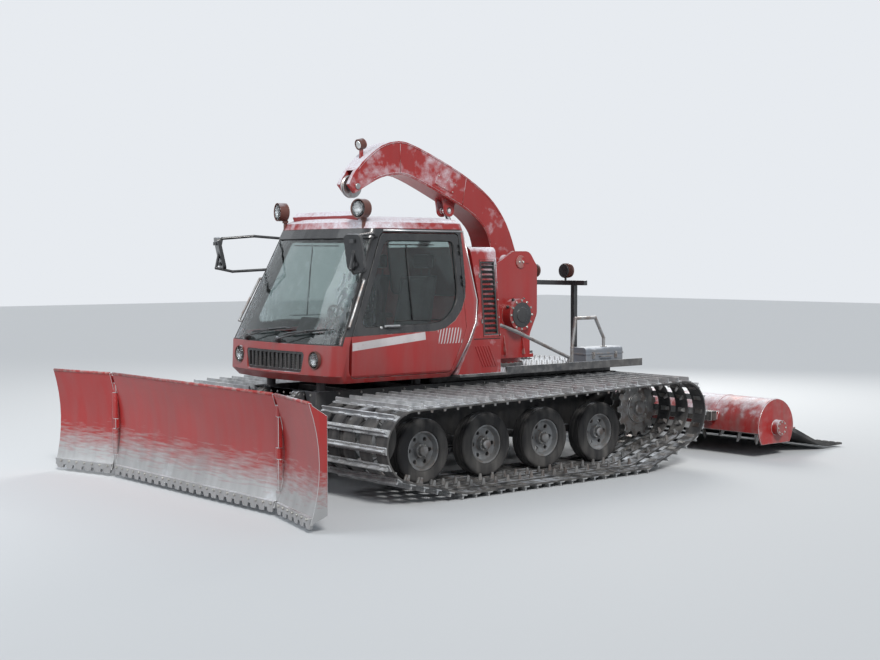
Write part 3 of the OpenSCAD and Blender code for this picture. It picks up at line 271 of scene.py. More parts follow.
def finish(name, material, worn=None, edge_width=0.003):
    """Gives a frame node its finish. Its corners are rounded, and the rounded strips take the worn coat."""
    piece = nodes[name]
    piece.data.materials.clear()
    piece.data.materials.append(material)
    piece.data.materials.append(worn or material)
    piece.data.polygons.foreach_set("use_smooth", [True] * len(piece.data.polygons))
    round_edges(piece, edge_width, True)


def round_edges(piece, edge_width, is_frame_node=False):
    """Joins the loose triangles of a frame node, then rounds the sharp edges and evens the shading."""
    if is_frame_node:
        piece.modifiers.new("joined", "WELD").merge_threshold = 0.00002
        flat = piece.modifiers.new("flat", "DECIMATE")
        flat.decimate_type = "DISSOLVE"
        flat.angle_limit = math.radians(0.2)
    rounded = piece.modifiers.new("rounded", "BEVEL")
    rounded.width = edge_width
    rounded.segments = 2
    rounded.limit_method = "ANGLE"
    rounded.angle_limit = math.radians(32)
    rounded.use_clamp_overlap = False
    rounded.material = 1 if is_frame_node else -1
    even = piece.modifiers.new("even", "WEIGHTED_NORMAL")
    even.keep_sharp = False


hull_paint = coat("hull_paint", (0.035, 0.037, 0.042), 0.45, frost=0.34, film=0.8)
worn_dark = coat("worn_dark_paint", (0.035, 0.037, 0.042), 0.45, frost=0.3, film=0.6, wear=0.8)
finish("hull", hull_paint, worn_dark)

# Deck: a chequer plate on two beams behind the cab, with raised lozenges against slipping. The pressed
# pattern alternates its direction from one lozenge to the next.


def new_tree(name, inputs):
    """A geometry node tree with a geometry going through it and its other inputs named."""
    tree = bpy.data.node_groups.new(name, "GeometryNodeTree")
    tree.interface.new_socket("Geometry", in_out="OUTPUT", socket_type="NodeSocketGeometry")
    tree.interface.new_socket("Geometry", in_out="INPUT", socket_type="NodeSocketGeometry")
    for socket, kind in inputs:
        tree.interface.new_socket(socket, in_out="INPUT", socket_type="NodeSocket" + kind)
    return tree, tree.nodes.new("NodeGroupInput").outputs, tree.nodes.new("NodeGroupOutput")


def copies(tree, points, instance, more=()):
    """Real copies of a geometry on points."""
    spread = put(tree, "GeometryNodeInstanceOnPoints", [("Points", points), ("Instance", instance), *more])
    return put(tree, "GeometryNodeRealizeInstances", [(0, spread.outputs[0])]).outputs[0]


def hand_out(tree, geometry, material, group_out):
    """Gives a geometry its finish and puts it out of the tree."""
    dressed = put(tree, "GeometryNodeSetMaterial", [(0, geometry), ("Material", material)])
    feed(group_out, [(0, dressed.outputs[0])])


def grow(host, tree, values):
    """Runs a tree on the host object with these values, and keeps its result as a plain mesh."""
    modifier = host.modifiers.new(tree.name, "NODES")
    modifier.node_group = tree
    for socket in tree.interface.items_tree:
        if socket.in_out == "INPUT" and socket.name in values:
            modifier[socket.identifier] = values[socket.name]
    host.update_tag()
    graph = bpy.context.evaluated_depsgraph_get()
    grown = bpy.data.meshes.new_from_object(host.evaluated_get(graph), preserve_all_data_layers=True,
                                            depsgraph=graph)
    host.modifiers.remove(modifier)
    host.data = grown
    return host


def grow_new(name, tree, values):
    """A new object that a tree makes from its values alone."""
    return grow(link_object(name, bpy.data.meshes.new(name)), tree, values)


def settle(piece, body, edge_width=0.0, smooth=True):
    """Rounds a finished piece's edges and lets it ride on its body."""
    piece.data.polygons.foreach_set("use_smooth", [smooth] * len(piece.data.polygons))
    if edge_width:
        round_edges(piece, edge_width)
    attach(piece, body)
    return piece


def from_shape(name, shape, material):
    """An object of a shape built in bmesh, its faces turned outwards."""
    bmesh.ops.recalc_face_normals(shape, faces=shape.faces)
    mesh = bpy.data.meshes.new(name)
    shape.to_mesh(mesh)
    shape.free()
    mesh.materials.append(material)
    return link_object(name, mesh)


def place_shape(name, shape, material, edge_width=0.0, body="chassis", smooth=True):
    """An object of a shape, settled on its body."""
    return settle(from_shape(name, shape, material), body, edge_width, smooth)


def add_prism(shape, outline, depth):
    """A flat outline of points, carried along the depth vector."""
    depth = Vector(depth)
    near = [shape.verts.new(point) for point in outline]
    far = [shape.verts.new(Vector(point) + depth) for point in outline]
    shape.faces.new(near)
    shape.faces.new(far[::-1])
    for i in range(len(near)):
        j = (i + 1) % len(near)
        shape.faces.new((near[i], near[j], far[j], far[i]))


def add_box(shape, low, high):
    """A box between two corners."""
    x0, y0, z0 = low
    x1, y1, z1 = high
    add_prism(shape, [(x0, y0, z0), (x1, y0, z0), (x1, y1, z0), (x0, y1, z0)], (0, 0, z1 - z0))


def add_lathe(shape, rows, centre, axis=(0, 0, 1), steps=32, closed=False):
    """A turned shape: rows of radius and height along the axis. A radius of 0 closes it at a pole."""
    turn = Vector(axis).to_track_quat("Z", "Y")
    rings = []
    for radius, along in rows:
        if radius == 0:
            rings.append([shape.verts.new(Vector(centre) + turn @ Vector((0, 0, along)))])
            continue
        ring = []
        for i in range(steps):
            angle = math.tau * i / steps
            spot = turn @ Vector((radius * math.cos(angle), radius * math.sin(angle), along))
            ring.append(shape.verts.new(Vector(centre) + spot))
        rings.append(ring)
    pairs = list(zip(rings, rings[1:])) + ([(rings[-1], rings[0])] if closed else [])
    for low, high in pairs:
        for i in range(steps):
            j = (i + 1) % steps
            corners = [low[i % len(low)], low[j % len(low)], high[j % len(high)], high[i % len(high)]]
            unique = list(dict.fromkeys(corners))
            if len(unique) > 2:
                shape.faces.new(unique)
    if not closed:
        for ring in (rings[0], rings[-1]):
            if len(ring) > 1:
                shape.faces.new(ring)


def add_tube(shape, path, radius, sides=10, closed=False):
    """A round tube along a path, with flat ends unless it is closed."""
    path = [Vector(point) for point in path]
    count = len(path)
    rings = []
    side = None
    for i, point in enumerate(path):
        before = path[i - 1] if (i or closed) else point
        after = path[(i + 1) % count] if (i + 1 < count or closed) else point
        tangent = (after - before).normalized()
        if side is None:
            side = tangent.orthogonal().normalized()
        side = (side - tangent * side.dot(tangent)).normalized()
        other = tangent.cross(side)
        rings.append([shape.verts.new(point + radius * (side * math.cos(math.tau * k / sides)
                                                        + other * math.sin(math.tau * k / sides)))
                      for k in range(sides)])
    for i in range(count if closed else count - 1):
        low, high = rings[i], rings[(i + 1) % count]
        shift = 0
        if closed and i + 1 == count:
            # The last ring of a closed path may have turned about the path, so it is matched to the first
            shift = min(range(sides), key=lambda k: (high[k].co - low[0].co).length)
        for k in range(sides):
            shape.faces.new((low[k], low[(k + 1) % sides], high[(k + 1 + shift) % sides],
                             high[(k + shift) % sides]))
    if not closed:
        shape.faces.new(rings[0])
        shape.faces.new(rings[-1])


deck_top = 1.170
deck_front, deck_rear, deck_half = 1.25, -1.735, 0.965
tread_tree, tread_in, tread_out = new_tree("deck_tread", [
    ("Length", "Float"), ("Width", "Float"), ("Pitch", "Float"), ("Lozenge", "Object"),
    ("Material", "Material")])
rows_count = maths("DIVIDE", tread_in["Length"], tread_in["Pitch"])
columns_count = maths("DIVIDE", tread_in["Width"], tread_in["Pitch"])
grid = put(tread_tree, "GeometryNodeMeshGrid",
           [("Size X", tread_in["Length"]), ("Size Y", tread_in["Width"]),
            ("Vertices X", rows_count), ("Vertices Y", columns_count)])
spot_xy = split(put(tread_tree, "GeometryNodeInputPosition").outputs[0])
row = maths("DIVIDE", spot_xy[0], tread_in["Pitch"])
column = maths("DIVIDE", spot_xy[1], tread_in["Pitch"])
parity = maths("PINGPONG", maths("ROUND", maths("ADD", row, column)), 1.0)
turned = put(tread_tree, "ShaderNodeCombineXYZ",
             [(2, maths("MULTIPLY_ADD", parity, math.pi / 2, math.pi / 4))])
lozenge_info = put(tread_tree, "GeometryNodeObjectInfo", [("Object", tread_in["Lozenge"])])
tread_turn = put(tread_tree, "FunctionNodeEulerToRotation", [(0, turned.outputs[0])])
lozenges = copies(tread_tree, grid.outputs[0], lozenge_info.outputs["Geometry"],
                  [("Rotation", tread_turn.outputs[0])])
moved = put(tread_tree, "GeometryNodeTransform", [
    (0, lozenges), ("Translation", ((deck_front + deck_rear) / 2, 0.0, deck_top))])
hand_out(tread_tree, moved.outputs[0], tread_in["Material"], tread_out)

deck_paint = coat("deck_paint", (0.05, 0.052, 0.056), 0.5, frost=0.5, film=0.7, wear=0.3,
                  bare=(0.25, 0.25, 0.25))
tread_steel = coat("tread_steel", (0.22, 0.22, 0.22), 0.42, frost=0.42, film=0.5, metallic=0.9)
finish("platform", deck_paint, worn_dark)
lozenge_shape = bmesh.new()
lozenge_rows = ((-0.016, 0.0), (0.0, 0.005), (0.016, 0.0), (0.0, -0.005))
lozenge_foot = [lozenge_shape.verts.new((x, y, -0.001)) for x, y in lozenge_rows]
lozenge_top = [lozenge_shape.verts.new((x * 0.7, y * 0.5, 0.003)) for x, y in lozenge_rows]
lozenge_shape.faces.new(lozenge_top)
for i in range(4):
    lozenge_shape.faces.new((lozenge_foot[i], lozenge_foot[(i + 1) % 4], lozenge_top[(i + 1) % 4],
                             lozenge_top[i]))
lozenge_shape.faces.new(lozenge_foot[::-1])
lozenge = from_shape("lozenge_pattern", lozenge_shape, tread_steel)
tread = grow_new("deck_tread", tread_tree, {
    "Length": deck_front - deck_rear, "Width": 2 * deck_half, "Pitch": 0.045, "Lozenge": lozenge,
    "Material": tread_steel})
bpy.data.objects.remove(lozenge)
settle(tread, "chassis", smooth=False)

# Fasteners: hexagon heads on washers, zinc plated, wherever plates are bolted. Each has a point, the way
# that it faces and a direction across it.

set_tree, set_in, set_out = new_tree("set_in_place", [
    ("Piece", "Object"), ("Size", "Float"), ("Material", "Material")])
ways = []
for label in ("outward", "across"):
    way = put(set_tree, "GeometryNodeInputNamedAttribute", [("Name", label)], data_type="FLOAT_VECTOR")
    ways.append(way.outputs[0])
turn_to = put(set_tree, "FunctionNodeAxesToRotation", enumerate(ways), primary_axis="Z", secondary_axis="X")
piece_info = put(set_tree, "GeometryNodeObjectInfo", [("Object", set_in["Piece"])])
set_copies = copies(set_tree, set_in["Geometry"], piece_info.outputs["Geometry"],
                    [("Rotation", turn_to.outputs[0]), ("Scale", set_in["Size"])])
hand_out(set_tree, set_copies, set_in["Material"], set_out)


def set_in_place(name, body, material, pattern, size, rows):
    """Many copies of one pattern piece. A row is a point, the way its Z looks and the way its X points."""
    mesh = bpy.data.meshes.new(name)
    mesh.from_pydata([row[0] for row in rows], [], [])
    for column, label in ((1, "outward"), (2, "across")):
        values = [value for row in rows for value in row[column]]
        mesh.attributes.new(label, "FLOAT_VECTOR", "POINT").data.foreach_set("vector", values)
    host = grow(link_object(name, mesh), set_tree, {"Piece": pattern, "Size": size, "Material": material})
    return settle(host, body, smooth=False)


zinc = coat("zinc_plate", (0.42, 0.42, 0.4), 0.38, frost=0.3, film=0.5, metallic=1.0)
bolt_shape = bmesh.new()
# The pattern's head has a radius of 1, so that its size is the radius in metres
add_lathe(bolt_shape, [(1.15, -0.05), (1.15, 0.2), (0, 0.2)], (0, 0, 0), steps=12)
add_lathe(bolt_shape, [(1.0, 0.2), (1.0, 0.75), (0.8, 0.9), (0, 0.9)], (0, 0, 0), steps=6)
bolt = from_shape("bolt_pattern", bolt_shape, zinc)


def ring_of(centre, axis, radius, count):
    """Rows for a ring of pieces round an axis, facing along it."""
    turn = Vector(axis).to_track_quat("Z", "Y")
    rows = []
    for i in range(count):
        angle = math.tau * i / count
        side = turn @ Vector((math.cos(angle), math.sin(angle), 0))
        rows.append((Vector(centre) + side * radius, Vector(axis), side))
    return rows


def bolts(name, body, size, rows):
    """Bolt heads of this radius."""
    return set_in_place(name, body, zinc, bolt, size, rows)


hull_front, hull_rear, hull_half, bolt_line = 2.95, -1.70, 0.60, 1.02
plate_bolts = []
for side in (-1, 1):
    for x in [-1.55 + 0.3 * i for i in range(15)]:
        plate_bolts.append(((x, side * hull_half, bolt_line), (0, side, 0), (1, 0, 0)))
for y in [-0.5 + 0.125 * i for i in range(9)]:
    plate_bolts.append(((hull_front, y, bolt_line - 0.01), (1, 0, 0), (0, 1, 0)))
    plate_bolts.append(((hull_rear, y, bolt_line - 0.01), (-1, 0, 0), (0, 1, 0)))
bolts("hull_bolts", "chassis", 0.012, plate_bolts)

# Running gear: trailing arms on the hull, pneumatic road wheels on pressed rims, a rubber-tyred idler in
# front and a toothed drive wheel with its gearbox behind. Nothing here turns, since each track is one loop.

wheel_z = 0.423
wheel_y = 1.25
first_wheel_x, wheel_pitch = -0.62, 0.9
idler = (2.79, 0.6)
wheel_centres = [(first_wheel_x + wheel_pitch * i, wheel_z) for i in range(4)] + [idler]
sprocket = (-1.3, 0.66)
rubber = coat("tyre_rubber", (0.022, 0.022, 0.024), 0.78, frost=0.3, film=0.9, grain_size=500,
              grain_depth=0.15)
rim_paint = coat("rim_paint", (0.30, 0.31, 0.32), 0.42, frost=0.3, film=0.9, wear=0.4, metallic=0.3)
worn_rim = coat("worn_rim", (0.30, 0.31, 0.32), 0.42, film=0.7, wear=1.0, bare=(0.16, 0.10, 0.07))
bare_steel = coat("bare_steel", (0.34, 0.34, 0.34), 0.36, frost=0.28, film=0.6, wear=0.5, metallic=0.95,
                  bare=(0.15, 0.08, 0.05), grain_depth=0.12)
bright_edge = coat("bright_edge", (0.55, 0.55, 0.55), 0.3, frost=0.1, film=0.3, metallic=1.0)
finish("axles", hull_paint, worn_dark)
finish("wheel_rims", rim_paint, worn_rim, 0.004)
finish("sprockets", bare_steel, bright_edge, 0.004)

# The tyre's section, as radius and half width from the bead out, with three grooves in the tread
tyre_section = [(0.216, 0.092), (0.232, 0.104), (0.270, 0.1085), (0.315, 0.105), (0.338, 0.094),
                (0.348, 0.080), (0.3497, 0.066), (0.340, 0.062), (0.340, 0.052), (0.3497, 0.048),
                (0.3497, 0.008), (0.340, 0.005)]
tyre_rows = tyre_section + [(radius, -width) for radius, width in reversed(tyre_section)]
tyre_shape = bmesh.new()
cap_shape = bmesh.new()
wheel_bolts = []
for side in (-1, 1):
    for x, z in wheel_centres:
        add_lathe(tyre_shape, tyre_rows, (x, side * wheel_y, z), (0, 1, 0), 56, closed=True)
        add_lathe(cap_shape, [(0.058, 0.055), (0.058, 0.098), (0.050, 0.108), (0.020, 0.112), (0, 0.112)],
                  (x, side * wheel_y, z), (0, side, 0), 28)
        wheel_bolts += ring_of((x, side * (wheel_y + 0.070), z), (0, side, 0), 0.066, 6)
    wheel_bolts += ring_of((sprocket[0], side * (wheel_y + 0.1), sprocket[1]), (0, side, 0), 0.14, 10)
    add_lathe(cap_shape, [(0.085, 0.09), (0.085, 0.128), (0.070, 0.140), (0, 0.140)],
              (sprocket[0], side * wheel_y, sprocket[1]), (0, side, 0), 32)
tyres = from_shape("road_tyres", tyre_shape, rubber)
settle(tyres, "chassis", 0.0015)
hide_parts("tyres")
place_shape("hub_caps", cap_shape, bare_steel, 0.002)
bolts("wheel_bolts", "chassis", 0.011, wheel_bolts)

# Tracks: five rubber belts side by side on each, joined by sixty aluminium cross bars. Every bar has an
# upright ice edge, clamping plates bolted over the belts, and two guide horns that keep it on the tyres.

belt_inner = 0.350
belt_thick = 0.018
bar_height = 0.055
bar_count = 60
track_inner, track_width = 0.82, 1.26
loop_centres = [Vector((x, 0, z)) for x, z in (sprocket, wheel_centres[0], wheel_centres[3], idler)]


def loop_run(radius):
    """The loop's straight runs and arcs at a distance from the axles, from the drive wheel forwards."""
    steps = [loop_centres[(i + 1) % 4] - loop_centres[i] for i in range(4)]
    headings = [math.atan2(step.z, step.x) for step in steps]
    runs = []
    for i, step in enumerate(steps):
        following = (i + 1) % 4
        turn = (headings[following] - headings[i]) % math.tau
        runs.append((step.length, turn * radius, headings[i], loop_centres[i], loop_centres[following]))
    return runs, sum(run[0] + run[1] for run in runs)


def loop_ways(heading):
    """The way along the loop and the way out of it."""
    along = Vector((math.cos(heading), 0, math.sin(heading)))
    return along, Vector((along.z, 0, -along.x))


def loop_at(runs, radius, distance):
    """Place on the loop and its heading there."""
    for length, arc, heading, start, corner in runs:
        if distance <= length:
            along, out = loop_ways(heading)
            return start + along * distance + radius * out, heading
        distance -= length
        if distance <= arc:
            heading += distance / radius
            return corner + radius * loop_ways(heading)[1], heading
        distance -= arc
    return start, heading


belt_middle = belt_inner + belt_thick / 2
belt_runs, belt_length = loop_run(belt_middle)
belt_tree, belt_in, belt_out = new_tree("track_belts", [
    ("Belt Width", "Float"), ("Thickness", "Float"), ("Pitch", "Float"), ("Belts", "Int"),
    ("Material", "Material")])
path = put(belt_tree, "GeometryNodeMeshToCurve", [(0, belt_in["Geometry"])])
section = put(belt_tree, "GeometryNodeCurvePrimitiveQuadrilateral",
              [("Width", belt_in["Belt Width"]), ("Height", belt_in["Thickness"])])
one_belt = put(belt_tree, "GeometryNodeCurveToMesh",
               [("Curve", path.outputs[0]), ("Profile Curve", section.outputs[0])])
side_step = put(belt_tree, "ShaderNodeCombineXYZ", [(1, belt_in["Pitch"])])
side_points = put(belt_tree, "GeometryNodeMeshLine",
                  [("Count", belt_in["Belts"]), ("Offset", side_step.outputs[0])])
belt_row = copies(belt_tree, side_points.outputs[0], one_belt.outputs[0])
hand_out(belt_tree, belt_row, belt_in["Material"], belt_out)

belt_rubber = coat("belt_rubber", (0.028, 0.028, 0.03), 0.8, frost=0.32, film=0.9, grain_size=400,
                   grain_depth=0.2)
bar_metal = coat("bar_metal", (0.40, 0.41, 0.42), 0.42, frost=0.42, film=0.7, wear=0.5, metallic=0.9,
                 bare=(0.62, 0.62, 0.62))
belt_width, belt_count, belt_steps = 0.18, 5, 240
belt_pitch = (track_width - belt_width) / (belt_count - 1)

# One cross bar lies along Y with its ice edge up, from one belt edge to the other
half_bar = track_width / 2
belt_lines = [-half_bar + belt_width / 2 + i * belt_pitch for i in range(belt_count)]
bar_shape = bmesh.new()
add_prism(bar_shape, [(-0.038, -half_bar, 0.0), (0.038, -half_bar, 0.0), (0.034, -half_bar, 0.012),
                      (-0.034, -half_bar, 0.012)], (0, track_width, 0))
add_prism(bar_shape, [(-0.013, -half_bar + 0.02, 0.010), (0.013, -half_bar + 0.02, 0.010),
                      (0.006, -half_bar + 0.02, bar_height), (-0.006, -half_bar + 0.02, bar_height)],
          (0, track_width - 0.04, 0))
for y in belt_lines:
    add_box(bar_shape, (-0.033, y - 0.055, 0.011), (0.033, y + 0.055, 0.019))
bar_pattern = from_shape("bar_pattern", bar_shape, bar_metal)

# The clamp behind the belts, with its two guide horns beside the tyre
horn_shape = bmesh.new()
for y in belt_lines:
    add_box(horn_shape, (-0.026, y - 0.05, -belt_thick - 0.006), (0.026, y + 0.05, -belt_thick + 0.001))
middle_y = wheel_y - track_inner - half_bar
horn_gap, horn_tip = 0.118, -belt_thick - 0.07
for side in (-1, 1):
    near = middle_y + side * horn_gap
    add_prism(horn_shape, [(-0.026, near, -belt_thick), (0.026, near, -belt_thick),
                           (0.012, near, horn_tip), (-0.012, near, horn_tip)], (0, side * 0.012, 0))
horn_pattern = from_shape("horn_pattern", horn_shape, bare_steel)

belt_outer = belt_inner + belt_thick
outer_runs, outer_length = loop_run(belt_outer)
for side, label in ((1, "left"), (-1, "right")):
    line = [loop_at(belt_runs, belt_middle, belt_length * i / belt_steps)[0] for i in range(belt_steps)]
    low_y = track_inner + belt_width / 2 if side > 0 else -track_inner - track_width + belt_width / 2
    belt_mesh = bpy.data.meshes.new("belts_" + label)
    belt_mesh.from_pydata([point + Vector((0, low_y, 0)) for point in line],
                          [(i, (i + 1) % belt_steps) for i in range(belt_steps)], [])
    belts = grow(link_object("belts_" + label, belt_mesh), belt_tree, {
        "Belt Width": belt_width, "Thickness": belt_thick, "Pitch": belt_pitch, "Belts": belt_count,
        "Material": belt_rubber})
    settle(belts, "chassis", smooth=False)
    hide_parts("track_" + label)
    bar_rows = []
    for i in range(bar_count):
        point, heading = loop_at(outer_runs, belt_outer, outer_length * (i + 0.5) / bar_count)
        along, out = loop_ways(heading)
        bar_rows.append((point + Vector((0, side * (track_inner + half_bar), 0)), out, along))
    set_in_place("cross_bars_" + label, "chassis", bar_metal, bar_pattern, 1.0, bar_rows)
    set_in_place("guide_horns_" + label, "chassis", bare_steel, horn_pattern, 1.0, bar_rows)
    clamp_bolts = []
    for point, out, along in bar_rows:
        for y in belt_lines:
            for shift in (-0.035, 0.035):
                spot = point + Vector((0, y + shift, 0)) + out * 0.019 + along * 0.023
                clamp_bolts.append((spot, out, along))
    bolts("track_bolts_" + label, "chassis", 0.007, clamp_bolts)
for pattern in (bar_pattern, horn_pattern):
    bpy.data.objects.remove(pattern)

# Engine: a plain block of cast iron with thin dark paint. It stands on the hull's floor, under the deck and
# the winch, where hardly any of it is seen.

engine_iron = coat("engine_iron", (0.10, 0.105, 0.11), 0.55, frost=0.1, film=0.9, wear=0.4,
                   bare=(0.10, 0.06, 0.04), grain_size=120, grain_depth=0.3)
finish("engine_block", engine_iron)

# Cab shell: pressed panels in signal red, with a pale band along each side and a row of plain slanted bars
# behind it. The upper part between the windows is black.

cab_red = (0.29, 0.012, 0.011)
worn_primer = (0.30, 0.24, 0.22)
band_pale = (0.50, 0.47, 0.48, 1.0)
mark_blur = 0.002
red_paint = coat("red_paint", cab_red, 0.33, frost=0.40, film=0.4, gloss=0.35)
worn_red = coat("worn_red", cab_red, 0.38, frost=0.35, film=0.5, wear=0.55, bare=worn_primer)
side_paint = coat("side_paint", cab_red, 0.33, frost=0.36, film=0.4, gloss=0.35)
side_tree = side_paint.node_tree
side_where = places(side_tree)
side_x, side_y, side_z = split(side_where)
side_facing = split(side_where.node.outputs["Normal"])[1]


def between(value, low, high):
    """1 where the value lies between two limits."""
    return times(ramp(value, low - mark_blur, low + mark_blur),
                 ramp(value, high + mark_blur, high - mark_blur))


def recolour(tree, colour):
    """Feeds another colour into the weathering of a coat."""
    feed(next(node for node in tree.nodes if node.type == "GROUP"), [("Colour", colour)])


# The band falls 85 mm over its length towards the front
band_height = maths("ADD", side_z, maths("MULTIPLY_ADD", side_x, 0.0876, -1.7877))
band = times(between(side_x, 1.80, 2.80), between(band_height, -0.042, 0.042))
bar_phase = maths("PINGPONG", maths("MULTIPLY_ADD", side_z, 0.35, side_x), 0.042)
bars = times(between(bar_phase, 0.013, 0.029), between(side_z, 1.535, 1.705))
bars = times(bars, between(side_x, 1.28, 1.62))
outside = ramp(times(side_facing, side_y), 0.3, 0.6)
marked = times(maths("MAXIMUM", band, bars), outside)
marked = times(marked, ramp(noise(side_where, 55.0), 0.25, 0.36, 0.55, 1.0))
recolour(side_tree, blend_colours(marked, (*cab_red, 1.0), band_pale))
cab_black = coat("cab_black", (0.014, 0.015, 0.017), 0.28, frost=0.33, film=0.35, gloss=0.3)
worn_black = coat("worn_black", (0.014, 0.015, 0.017), 0.35, frost=0.3, film=0.3, wear=0.4)
finish("cab_body", side_paint, worn_red)
finish("cab_frame", cab_black, worn_black)
for side in ("left", "right"):
    finish("door_%s_panel" % side, side_paint, worn_red)
    finish("door_%s_frame" % side, cab_black, worn_black)

# Heavier frost lies on the roof, the cooling box and the boom
frosted_red = coat("frosted_red", cab_red, 0.36, frost=0.62, film=0.3, gloss=0.2)
worn_frosted = coat("worn_frosted_red", cab_red, 0.4, frost=0.58, film=0.3, wear=0.5, bare=worn_primer)
finish("roof_panel", frosted_red, worn_frosted)

# Glazing: tinted safety glass with frost in long streaks by the front corners. Each pane sits in a black
# rubber profile that fills the corner between glass and frame.

cab_rows = ((1.160, 3.060, 1.340, 0.985), (1.240, 3.125, 1.300, 1.030), (1.560, 3.101, 1.105, 1.045),
            (1.760, 3.009, 0.985, 1.017), (2.000, 2.898, 0.940, 0.983), (2.800, 2.528, 1.064, 0.870))
front_column, rear_column, half_column = 1, 2, 3
front_corner, front_bow = 0.150, 0.090
screen_low, screen_top = 1.56, 2.69
door_setback, pillar_width = 0.27, 0.095


def cab_at(z, column):
    """The cab's front, rear or half width at a height."""
    for low, high in zip(cab_rows, cab_rows[1:]):
        if z <= high[0]:
            share = max(0.0, (z - low[0]) / (high[0] - low[0]))
            return low[column] + share * (high[column] - low[column])
    return cab_rows[-1][column]


def screen_point(t, z, out):
    """A point on the windscreen: t runs from -1 at the right-hand corner to 1 at the left."""
    reach = cab_at(z, half_column) - front_corner
    return Vector((cab_at(z, front_column) - front_bow * t * t + out, t * reach, z))


def front_line(z, inset):
    """The cab's front at a height, drawn in, from the right-hand window post to the left-hand one."""
    front, half = cab_at(z, front_column) - inset, cab_at(z, half_column) - inset
    radius = front_corner - inset
    edge = cab_at(z, front_column) - door_setback + pillar_width
    right = [(edge, -half)]
    for i in range(7):
        angle = math.radians(-90 + 75 * i / 6)
        point = (front - front_bow - radius + radius * math.cos(angle),
                 -half + radius + radius * math.sin(angle))
        if point[0] > edge:
            right.append(point)
    middle = [(front - front_bow * t * t, t * (half - radius)) for t in (-0.6, -0.3, 0.0, 0.3, 0.6)]
    return [Vector((x, y, z)) for x, y in right + middle + [(x, -y) for x, y in reversed(right)]]


def rounded_outline(rows, steps=8):
    """Points of an outline whose corners have radii: rows of two coordinates and a radius."""
    points = []
    for i, (x, y, radius) in enumerate(rows):
        here = Vector((x, y))
        before = (Vector(rows[i - 1][:2]) - here).normalized()
        after = (Vector(rows[(i + 1) % len(rows)][:2]) - here).normalized()
        half = before.angle(after) / 2
        middle = here + (before + after).normalized() * radius / math.sin(half)
        start = here + before * radius / math.tan(half) - middle
        turn = start.angle_signed(here + after * radius / math.tan(half) - middle)
        for k in range(steps + 1):
            angle = -turn * k / steps
            points.append(middle + Vector((start.x * math.cos(angle) - start.y * math.sin(angle),
                                           start.x * math.sin(angle) + start.y * math.cos(angle))))
    return points


def glazing(name, tint, frost_low, frost_high):
    """Tinted glass with long frosted streaks by its front corners."""
    material, shader = new_material(name)
    where = places(material.node_tree)
    x, y = split(where)[:2]
    streak = ramp(noise(stretched(where, (9.0, 9.0, 1.6)), 2.2, 6.0), frost_low, frost_high)
    corner = times(ramp(maths("ABSOLUTE", y), 0.55, 0.86), ramp(x, 2.25, 2.6))
    rim = times(ramp(noise(where, 9.0, 3.0), 0.5, 0.72), 0.15)
    icing = maths("MAXIMUM", times(streak, corner), rim)
    feed(shader, [("Base Color", blend_colours(icing, tint, (0.80, 0.85, 0.90, 1.0))),
                  ("Roughness", ramp(icing, 0.0, 1.0, 0.02, 0.55)), ("Normal", bump(icing, 0.001, 0.15)),
                  ("Transmission Weight", 1.0), ("IOR", glass_ior)])
    return material


glass_ior = 1.45
window_glass = glazing("window_glass", (0.50, 0.57, 0.56, 1.0), 0.42, 0.62)
for name in ("cab_glass", "door_left_glass", "door_right_glass"):
    finish(name, window_glass, edge_width=0.001)
gasket_rubber = coat("gasket_rubber", (0.012, 0.012, 0.013), 0.6, frost=0.25, film=0.2)
bead = 0.011
screen_edge = [screen_low + (screen_top - screen_low) * i / 6 for i in range(7)]
left_edge = [front_line(z, 0.016)[-1] for z in screen_edge]
right_edge = [Vector((point.x, -point.y, point.z)) for point in left_edge]
screen_shape = bmesh.new()
screen_line = (front_line(screen_low, 0.016) + left_edge[1:-1] + front_line(screen_top, 0.016)[::-1]
               + right_edge[-2:0:-1])
add_tube(screen_shape, screen_line, bead, 8, closed=True)
rear_window = rounded_outline([(-0.62, 2.04, 0.08), (0.62, 2.04, 0.08), (0.58, 2.69, 0.08),
                               (-0.58, 2.69, 0.08)])
add_tube(screen_shape,
         [(cab_at(point.y, rear_column) + 0.016, point.x, point.y) for point in rear_window], bead, 8,
         closed=True)
place_shape("screen_gaskets", screen_shape, gasket_rubber)
window_rim, window_top, door_rear = 0.075, 2.665, 1.2
pane_low, pane_high = 1.80, 2.62


def door_front(z):
    """Front edge of a door at a height."""
    return cab_at(max(z, screen_low), front_column) - door_setback


door_window = rounded_outline([
    (door_rear + window_rim, 1.69 + window_rim, 0.40),
    (door_front(1.74) - window_rim, 1.655 + window_rim, 0.06),
    (door_front(window_top) - window_rim, window_top, 0.09),
    (door_rear + window_rim, window_top, 0.06)])
for side, label in ((1, "left"), (-1, "right")):
    door_shape = bmesh.new()
    add_tube(door_shape,
             [(point.x, side * (cab_at(point.y, half_column) - 0.016), point.y) for point in door_window],
             bead, 8, closed=True)
    # Sliding pane's rails and its catch
    for z in (pane_low, pane_high):
        add_tube(door_shape, [(x, side * (cab_at(z, half_column) - 0.012), z) for x in (1.56, 1.9, 2.2)],
                 0.006, 6)
    catch_line = [(1.95, side * (cab_at(z, half_column) - 0.014), z) for z in (pane_low, 2.2, pane_high)]
    add_tube(door_shape, catch_line, 0.008, 6)
    place_shape("door_gasket_" + label, door_shape, gasket_rubber, body="door_" + label)

# Wipers: two black steel arms parked low across the windscreen, each on a hub in the frame below it. A
# sprung holder presses the rubber blade to the glass.

